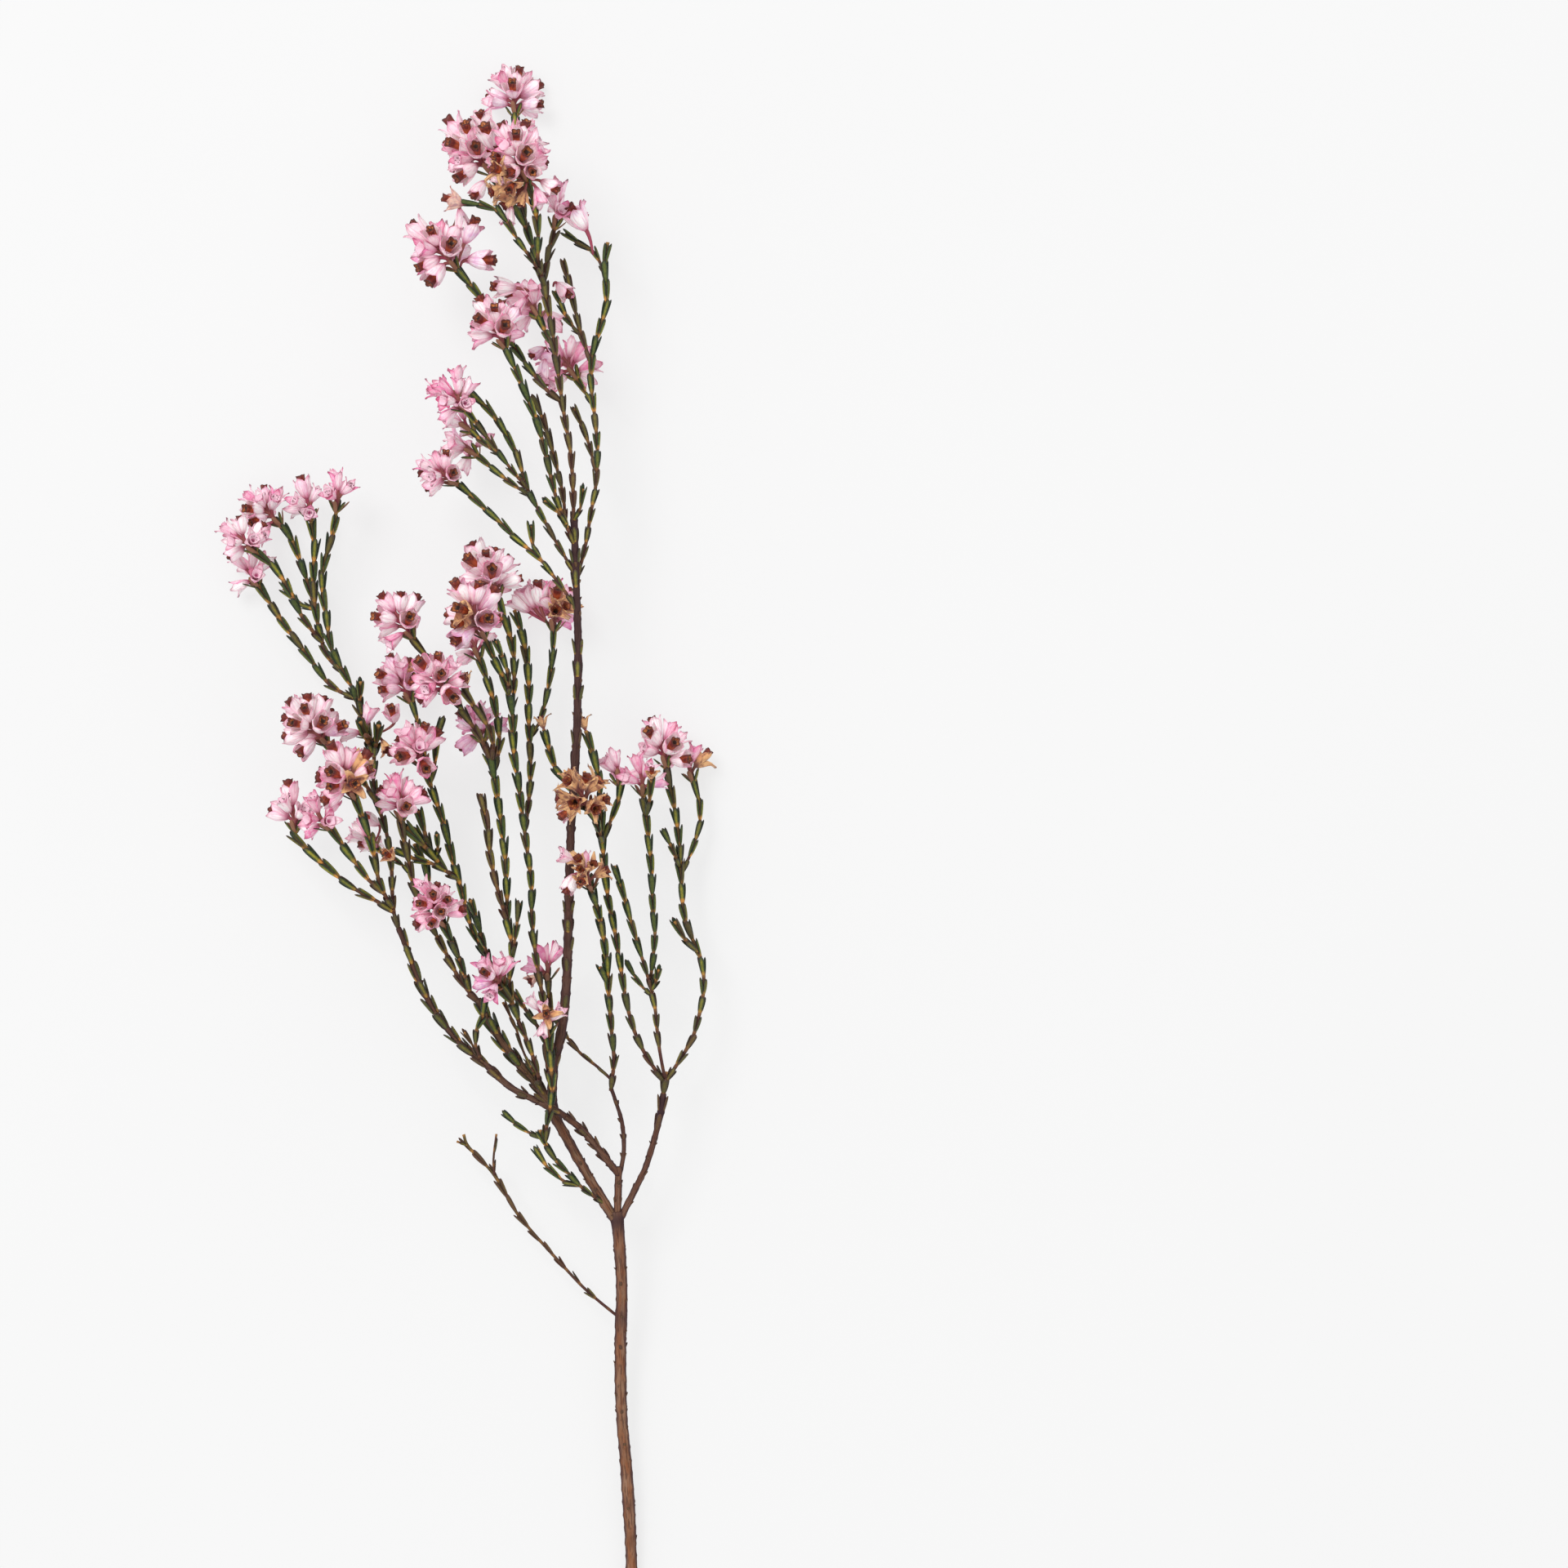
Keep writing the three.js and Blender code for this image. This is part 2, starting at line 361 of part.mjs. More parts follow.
// A solid from points and triangles, whichever way round the triangles run.
function solidOf(points, faces) {
  const geometry = new THREE.BufferGeometry().setFromPoints(points);
  geometry.setIndex(faces);
  const merged = mergeVertices(geometry, 1e-4);
  const triVerts = new Uint32Array(merged.index.array);
  const mesh = { numProp: 3, vertProperties: merged.attributes.position.array, triVerts };
  const solid = new wasm.Manifold(new wasm.Mesh(mesh));
  if (solid.volume() > 0) return solid;
  for (let i = 0; i < triVerts.length; i += 3) {
    [triVerts[i + 1], triVerts[i + 2]] = [triVerts[i + 2], triVerts[i + 1]];
  }
  return new wasm.Manifold(new wasm.Mesh(mesh));
}

function geometryOf(solid) {
  const mesh = solid.getMesh();
  const geometry = new THREE.BufferGeometry();
  geometry.setAttribute("position", new THREE.BufferAttribute(mesh.vertProperties, 3));
  geometry.setIndex(new THREE.BufferAttribute(mesh.triVerts, 1));
  return geometry;
}

function join(solids) {
  return solids.reduce((whole, next) => whole.add(next));
}

// The largest of a solid's separate bodies.
function largest(solid) {
  const bodies = solid.decompose();
  return bodies.reduce((best, body) => (body.volume() > best.volume() ? body : best));
}

// The axis of a branch. Heights that the route leaves out rise evenly between its others,
// and the first is the height of the branch that it grows from, at the nearest point.
function axisOf(route, parent) {
  const heights = route.map((point) => point[2]);
  if (heights[0] === undefined) {
    const start = new THREE.Vector3(route[0][0], route[0][1], 0).sub(MIDDLE);
    const near = parent.getSpacedPoints(80).reduce((best, point) => {
      const away = Math.hypot(point.x - start.x, point.y - start.y);
      return away < best.away ? { away, z: point.z } : best;
    }, { away: Infinity, z: 0 });
    heights[0] = near.z;
  }
  const along = [0];
  for (let i = 1; i < route.length; i++) {
    const step = Math.hypot(route[i][0] - route[i - 1][0], route[i][1] - route[i - 1][1]);
    along.push(along[i - 1] + step);
  }
  const points = route.map(([x, y], i) => {
    if (heights[i] === undefined) {
      const next = heights.findIndex((height, j) => j > i && height !== undefined);
      const share = (along[i] - along[i - 1]) / (along[next] - along[i - 1]);
      heights[i] = heights[i - 1] + (heights[next] - heights[i - 1]) * share;
    }
    return new THREE.Vector3(x, y, heights[i]).sub(MIDDLE);
  });
  return new THREE.CatmullRomCurve3(points, false, "centripetal");
}

// A ring of points round the axis. The first point of a whole ring lies on the upper side.
function ring(axis, at, radii, ahead = [0], turn = 0) {
  const centre = axis.getPointAt(at);
  const forward = axis.getTangentAt(at);
  const side = new THREE.Vector3(0, 0, 1).cross(forward).normalize();
  const up = forward.clone().cross(side);
  return radii.map((radius, i) => {
    const angle = turn + (2 * Math.PI * i) / radii.length;
    return centre.clone()
      .addScaledVector(side, radius * Math.sin(angle))
      .addScaledVector(up, radius * Math.cos(angle))
      .addScaledVector(forward, ahead[i % ahead.length]);
  });
}

// A length of wood, a little thicker at its old leaf scars.
function woodSolid(axis, radii, seed) {
  const steps = Math.max(2, Math.round(axis.getLength() / WOOD_STEP));
  const rings = [];
  for (let i = 0; i <= steps; i++) {
    const at = i / steps;
    const radius = radii[0] + (radii[1] - radii[0]) * at;
    const knob = 1 + KNOB * (chance(seed, i) - 0.4);
    rings.push(ring(axis, at, new Array(WOOD_SIDES).fill(radius * knob)));
  }
  return skin(rings);
}

// A leafy twig: at each whorl a thin joint widens to three leaf tips with notches between
// them, and the next whorl sits in the gaps of the last. Its first part may be bare.
function twigSolid(axis, scale, leafFrom, carriesHead) {
  const length = axis.getLength();
  const whorls = Math.max(1, Math.round((length * (1 - leafFrom)) / WHORL_STEP));
  const bare = leafFrom * length;
  const step = (length - bare) / whorls;
  const points = [...ring(axis, 0, new Array(3).fill(BARE_RADIUS * scale))];
  const faces = [0, 2, 1];
  const tube = (from, to, twist) => {
    for (let i = 0; i < 3; i++) {
      const next = (i + 1) % 3;
      faces.push(from + i, from + next, to + ((next + twist) % 3));
      faces.push(from + i, to + ((next + twist) % 3), to + ((i + twist) % 3));
    }
  };
  if (leafFrom > 0) {
    const bareSteps = Math.max(1, Math.round(bare / WOOD_STEP));
    for (let i = 1; i <= bareSteps; i++) {
      const from = points.length - 3;
      points.push(...ring(axis, (bare * i) / bareSteps / length, new Array(3).fill(BARE_RADIUS * scale)));
      tube(from, points.length - 3, 0);
    }
  }
  let joint = points.length - 3;
  const tips = [LEAF_RADIUS * scale, NOTCH_RADIUS * scale];
  for (let k = 0; k < (leafFrom < 1 ? whorls : 0); k++) {
    const turn = (k * Math.PI) / 3;
    const begin = bare + k * step;
    const whorl = points.length;
    const ahead = [(LEAF_TOP - NOTCH_TOP) * step, 0];
    const radii = [0, 1, 2, 3, 4, 5].map((i) => tips[i % 2]);
    points.push(...ring(axis, (begin + NOTCH_TOP * step) / length, radii, ahead, turn));
    for (let i = 0; i < 3; i++) {
      const next = (i + 1) % 3;
      const tip = whorl + 2 * i;
      faces.push(joint + i, tip + 1, tip);
      faces.push(joint + i, joint + next, tip + 1);
      faces.push(joint + next, whorl + 2 * next, tip + 1);
    }
    const last = k === whorls - 1;
    const next = points.length;
    if (last && !carriesHead) {
      points.push(axis.getPointAt(1));
      for (let i = 0; i < 6; i++) faces.push(whorl + i, whorl + ((i + 1) % 6), next);
      return solidOf(points, faces);
    }
    const above = Math.min(1, (begin + step) / length);
    points.push(...ring(axis, above, new Array(3).fill(JOINT_RADIUS * scale), [0], turn + Math.PI / 3));
    for (let i = 0; i < 3; i++) {
      const after = (i + 1) % 3;
      faces.push(whorl + 2 * i + 1, next + after, next + i);
      faces.push(whorl + 2 * i + 1, whorl + 2 * after, next + after);
      faces.push(whorl + 2 * after, whorl + 2 * after + 1, next + after);
    }
    joint = next;
  }
  faces.push(joint, joint + 1, joint + 2);
  return solidOf(points, faces);
}

// A plain tube that holds the room of a branch and the gap round it and past its end.
function roomRound(axis, radius) {
  const steps = Math.max(2, Math.round(axis.getLength() / WOOD_STEP));
  const radii = new Array(WOOD_SIDES).fill(radius * (1 + KNOB) + GAP);
  const rings = [];
  for (let i = 0; i <= steps; i++) rings.push(ring(axis, i / steps, radii));
  rings.push(ring(axis, 1, radii, [GAP]));
  return skin(rings);
}

// One flower: a cup that widens to four pointed sepals with notches between them. In many
// flowers the square withered corolla stands out of the cup.
function flowerSolid(flower) {
  const { root, forward, side, size, box } = flower;
  const up = forward.clone().cross(side);
  const place = (angle, radius, along) => root.clone()
    .addScaledVector(forward, along * size)
    .addScaledVector(side, radius * size * Math.cos(angle))
    .addScaledVector(up, radius * size * Math.sin(angle));
  const quarter = Math.PI / 2;
  const points = [root];
  for (let i = 0; i < 4; i++) {
    points.push(place(i * quarter, MOUTH_RADIUS, FLOWER_LENGTH));
    points.push(place((i + 0.5) * quarter, NOTCH_DEPTH_RADIUS, FLOWER_LENGTH * NOTCH_SHARE));
  }
  const faces = [];
  const inner = 9;
  if (box) {
    const top = FLOWER_LENGTH * NOTCH_SHARE + BOX_LENGTH;
    for (let i = 0; i < 4; i++) points.push(place((i + 0.5) * quarter, BOX_RADIUS, top));
    faces.push(inner, inner + 1, inner + 2, inner, inner + 2, inner + 3);
  } else {
    points.push(place(0, 0, FLOWER_LENGTH * CUP_SHARE));
  }
  for (let i = 0; i < 4; i++) {
    const tip = 1 + 2 * i;
    const notch = tip + 1;
    const nextTip = 1 + 2 * ((i + 1) % 4);
    faces.push(0, notch, tip, 0, nextTip, notch);
    if (box) {
      const corner = inner + i;
      const before = inner + ((i + 3) % 4);
      faces.push(notch, corner, tip, tip, corner, before, nextTip, corner, notch);
    } else {
      faces.push(notch, inner, tip, nextTip, inner, notch);
    }
  }
  return solidOf(points, faces);
}

// The three balls that stand for a flower's room: its foot, its belly and its mouth.
function roomOf(flower) {
  const { root, forward, size } = flower;
  return [[0.32, 0.8], [0.62, 1.5], [0.98, 2.2]].map(([along, radius]) => ({
    centre: root.clone().addScaledVector(forward, FLOWER_LENGTH * along * size),
    radius: radius * size,
  }));
}

function clearOf(balls, others) {
  return balls.every((ball) => others.every(
    (other) => ball.centre.distanceTo(other.centre) > ball.radius + other.radius + GAP));
}

// The flowers of a head stand out of its core by the golden angle, the foremost at its tip.
// Those that would crowd another flower of the head, or meet a neighbour, are left out.
function placeFlowers(head, axis, seed, taken) {
  const forward = axis.getTangentAt(1);
  const side = new THREE.Vector3(0, 0, 1).cross(forward).normalize();
  const up = forward.clone().cross(side);
  const size = head.size ?? 1;
  const reach = head.reach ?? 2;
  const radius = CORE_RADIUS * size;
  const half = radius + reach / 2;
  const centre = axis.getPointAt(1).addScaledVector(forward, half + GAP);
  const tries = head.flowers * 4;
  const lowest = Math.cos(THREE.MathUtils.degToRad(head.spread));
  const flowers = [];
  for (let k = 0; k < tries && flowers.length < head.flowers; k++) {
    const share = (((k * 3) % tries) + 0.5 * chance(seed, k)) / tries;
    const height = 1 - (1 - lowest) * share;
    const sine = Math.sqrt(1 - height * height);
    const angle = k * GOLDEN_ANGLE + 0.5 * (chance(seed, k + 100) - 0.5);
    const out = forward.clone().multiplyScalar(height)
      .addScaledVector(side, sine * Math.cos(angle))
      .addScaledVector(up, sine * Math.sin(angle));
    const across = new THREE.Vector3(0.13, 0.37, 0.92).cross(out).normalize();
    across.applyAxisAngle(out, chance(seed, k + 200) * Math.PI);
    const root = centre.clone().addScaledVector(forward, reach * (0.5 - share))
      .addScaledVector(out, 0.3 * radius);
    const flower = {
      root,
      forward: out,
      side: across,
      size: size * (0.94 + 0.16 * chance(seed, k + 300)),
      box: chance(seed, k + 400) < head.boxes,
    };
    flower.belly = root.clone().addScaledVector(out, 0.7 * FLOWER_LENGTH * size);
    const crowded = flowers.some((other) => other.belly.distanceTo(flower.belly) < LEAST_APART * size);
    if (!crowded && clearOf(roomOf(flower), taken)) flowers.push(flower);
  }
  const corners = [0, 1, 2, 3].map((i) => centre.clone()
    .addScaledVector(side, radius * Math.cos((i * Math.PI) / 2))
    .addScaledVector(up, radius * Math.sin((i * Math.PI) / 2)));
  const back = centre.clone().addScaledVector(forward, -half);
  const tip = centre.clone().addScaledVector(forward, half);
  return { core: [back, ...corners, tip], radius, flowers };
}

// The core of a head: a blunt spindle from six points.
function coreSolid(core) {
  const faces = [];
  for (let i = 0; i < 4; i++) {
    const next = (i + 1) % 4;
    faces.push(0, 1 + next, 1 + i, 5, 1 + i, 1 + next);
  }
  return solidOf(core, faces);
}

// What would reach below the table is pressed flat on it.
function pressedFlat(solid) {
  const corners = [[-200, -300], [200, -300], [200, 300], [-200, 300]];
  const rings = [-40, 0].map((z) => corners.map(([x, y]) => new THREE.Vector3(x, y, z)));
  return solid.subtract(skin(rings));
}

function meshOf(name, solid, finish) {
  const mesh = new THREE.Mesh(geometryOf(largest(solid)), new THREE.MeshStandardMaterial(finish));
  mesh.name = name;
  return mesh;
}

const heath = new THREE.Group();

const axes = {};
const woodSolids = [];
Object.entries(WOOD).forEach(([name, limb], i) => {
  axes[name] = axisOf(limb.route, axes[limb.from]);
  woodSolids.push(woodSolid(axes[name], limb.radii, i + 1));
});
heath.add(meshOf("woody_stem", pressedFlat(join(woodSolids)), FINISH.wood));

// Balls along every branch and twig, which the flowers keep clear of.
const taken = [];
function takeRoom(axis, radius, upTo) {
  const steps = Math.ceil(axis.getLength() / 1.4);
  for (let i = 0; i <= steps; i++) {
    const at = i / steps;
    if (axis.getLength() * (1 - at) < upTo) continue;
    taken.push({ centre: axis.getPointAt(at), radius });
  }
}

Object.entries(WOOD).forEach(([name, limb]) => takeRoom(axes[name], limb.radii[0], 0));
const carriers = new Set(Object.values(HEADS).map((head) => head.twig));
const sprays = Object.entries(SPRAYS).map(([name, twigs]) => {
  const solids = Object.entries(twigs).map(([twig, made]) => {
    axes[twig] = axisOf(made.route, axes[made.from]);
    const scale = made.scale ?? 1;
    takeRoom(axes[twig], LEAF_RADIUS * scale * 0.92, carriers.has(twig) ? 2.4 : 0);
    return twigSolid(axes[twig], scale, made.leafFrom ?? 0, carriers.has(twig));
  });
  const first = Object.values(twigs)[0];
  const seat = WOOD[first.from];
  const seatRoom = roomRound(axes[first.from], Math.max(...seat.radii));
  return { name, solid: join(solids).subtract(seatRoom) };
});
sprays.forEach(({ name, solid }) => heath.add(meshOf(name, solid, FINISH.leaf)));

Object.entries(HEADS).forEach(([name, head], i) => {
  const axis = axes[head.twig];
  const { core, radius, flowers } = placeFlowers(head, axis, i + 1, taken);
  const solids = [coreSolid(core), ...flowers.map(flowerSolid)];
  flowers.forEach((flower) => taken.push(...roomOf(flower)));
  [0.2, 0.5, 0.8].forEach((share) => taken.push({ centre: core[0].clone().lerp(core[5], share), radius }));
  const solid = join(solids).subtract(roomRound(axis, JOINT_RADIUS));
  heath.add(meshOf(name, pressedFlat(solid), FINISH.petal));
});

export default heath;
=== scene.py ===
"""A cut stem of heath lying on a pale table, seen from straight above.

Brown forked wood carries sprays of twigs clad in small leaves, three to a whorl, and each
flowering twig ends in a head of pale pink four-pointed flowers. In many flowers the withered
brown tube stands out of the cup. Sizes are in millimetres until a mesh is made.
"""

import logging
import math
from dataclasses import dataclass, replace
from enum import Enum

import bpy
import numpy as np
from bpy.types import Material, Node, NodeTree, Object
from bpy.types import NodeSocket as Socket
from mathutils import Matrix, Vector

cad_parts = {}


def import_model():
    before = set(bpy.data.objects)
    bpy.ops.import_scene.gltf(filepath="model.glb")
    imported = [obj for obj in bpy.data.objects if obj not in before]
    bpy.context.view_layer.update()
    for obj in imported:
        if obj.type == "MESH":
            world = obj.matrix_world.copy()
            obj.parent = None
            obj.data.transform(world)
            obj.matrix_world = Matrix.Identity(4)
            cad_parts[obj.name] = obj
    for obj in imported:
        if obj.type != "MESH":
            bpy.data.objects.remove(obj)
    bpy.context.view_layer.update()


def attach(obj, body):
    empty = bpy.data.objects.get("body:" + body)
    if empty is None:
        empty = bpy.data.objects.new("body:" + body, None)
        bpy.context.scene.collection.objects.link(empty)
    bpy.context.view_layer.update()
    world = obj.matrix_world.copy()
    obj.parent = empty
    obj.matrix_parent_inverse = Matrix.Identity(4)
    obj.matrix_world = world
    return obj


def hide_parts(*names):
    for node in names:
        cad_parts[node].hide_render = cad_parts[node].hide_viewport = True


LOG = logging.getLogger("heath")
MM = 0.001
UP = np.array([0.0, 0.0, 1.0])
# Directions that lie along no flower and no stalk, from which a side of either is found.
SLANT = (0.13, 0.37, 0.92)
STALK_SLANT = (0.31, 0.17, 0.93)
# The middle of the lying stem, from the point that the routes are measured from.
MIDDLE = np.array([-40.7, 176.7, 0.0])
GOLDEN_ANGLE = math.pi * (3 - math.sqrt(5))
FLOWER_LENGTH = 5.6
LEAF_RADIUS = 1.05
# The room between a flower and what it stands beside.
GAP = 0.3
# How high above the table a leaf and a part of a flower stay.
LEAF_FLOOR = 0.05
FLOWER_FLOOR = 0.02

Pair = tuple[float, float]
Point = tuple[float, ...]
Row = tuple[float, ...]
Route = tuple[Point, ...]
Colour = tuple[float, float, float]
Array = np.ndarray
Faces = list[tuple[int, ...]]
Balls = list[tuple[Array, float]]


@dataclass(frozen=True)
class Limb:
    """A length of wood: what it grows from, its radii and route, its darkness and its moss."""

    name: str
    grows_from: str | None
    radii: Pair
    route: Route
    shade: float
    moss: float


@dataclass(frozen=True)
class Twig:
    """A leafy twig. A scale under 1 makes a thin one, and leaf_from bares its first part."""

    name: str
    grows_from: str
    route: Route
    scale: float = 1.0
    leaf_from: float = 0.0


@dataclass(frozen=True)
class Head:
    """A flower head: its twig, its sizes and the shares of brown tubes and of dry flowers.

    The spread is the angle in degrees from its tip to its lowest flowers, the reach how much longer
    than wide it is, the fill how many small flowers stand in its gaps and the flush its extra pink.
    """

    name: str
    twig: str
    flowers: int
    spread: float
    size: float = 1.0
    reach: float = 2.0
    boxes: float = 0.0
    dry: float = 0.0
    fill: float = 0.85
    flush: float = 0.0


@dataclass(frozen=True)
class Stray:
    """A flower that stands apart from its head, from the start of its stalk to its mouth."""

    head: str
    start: Point
    foot: Point
    mouth: Point
    box: bool = True
    dry: float = 0.0
    splay: float = 0.0


LIMBS = (
    Limb("stem", None, (1.45, 1.38), ((0.4, -15, 1.45), (-0.3, 8), (-1.3, 24), (-2.3, 36), (-2.6, 52, 7),
        (-2.2, 68), (-2.8, 80), (-3.4, 87, 14)), shade=0.05, moss=0.15),
    Limb("left_limb", "stem", (1.25, 1.15), ((-3.2, 84), (-7.8, 91.4), (-12.2, 99), (-16, 106), (-18.6, 111),
        (-19.6, 117, 18)), shade=0.35, moss=0.35),
    Limb("trunk", "left_limb", (1.2, 0.85), ((-19.2, 112), (-18.6, 123), (-16.8, 131), (-15.4, 143, 23),
        (-14.8, 160), (-14.2, 180, 27), (-12.7, 205), (-12.4, 226, 28), (-12.9, 243), (-13.4, 257, 28)),
        shade=1.0, moss=0.3),
    Limb("second_limb", "left_limb", (1.1, 0.9), ((-19.2, 113), (-23, 118.6), (-27, 123.4), (-31, 128.6),
        (-34.4, 134.4), (-37, 139.4, 24)), shade=0.6, moss=0.95),
    Limb("centre_limb", "stem", (1.0, 0.8), ((-3.2, 84), (-3, 91), (-2.8, 98, 15.5)), shade=0.4, moss=0.2),
    Limb("long_branch", "centre_limb", (0.85, 0.7), ((-2.8, 96), (-7.8, 102.6), (-12, 107.6, 20),
        (-17, 111.6, 22.5), (-22, 114.2, 22.5), (-29, 117.8), (-35.4, 123.6), (-41.6, 128.8, 22),
        (-47, 135.4), (-51, 142.6), (-54.4, 151.6), (-56.6, 156.8, 21)), shade=0.75, moss=0.35),
    Limb("thin_centre", "centre_limb", (0.55, 0.48), ((-2.8, 95), (-1.6, 101.4), (-2, 108.6), (-3.4, 113.4),
        (-4.8, 117.4, 13)), shade=0.9, moss=0.1),
    Limb("right_limb", "stem", (0.85, 0.66), ((-3, 84), (0.6, 91.2), (3.6, 97.4), (6, 105), (7.6, 111.6),
        (8.2, 116, 16)), shade=0.7, moss=0.1),
)

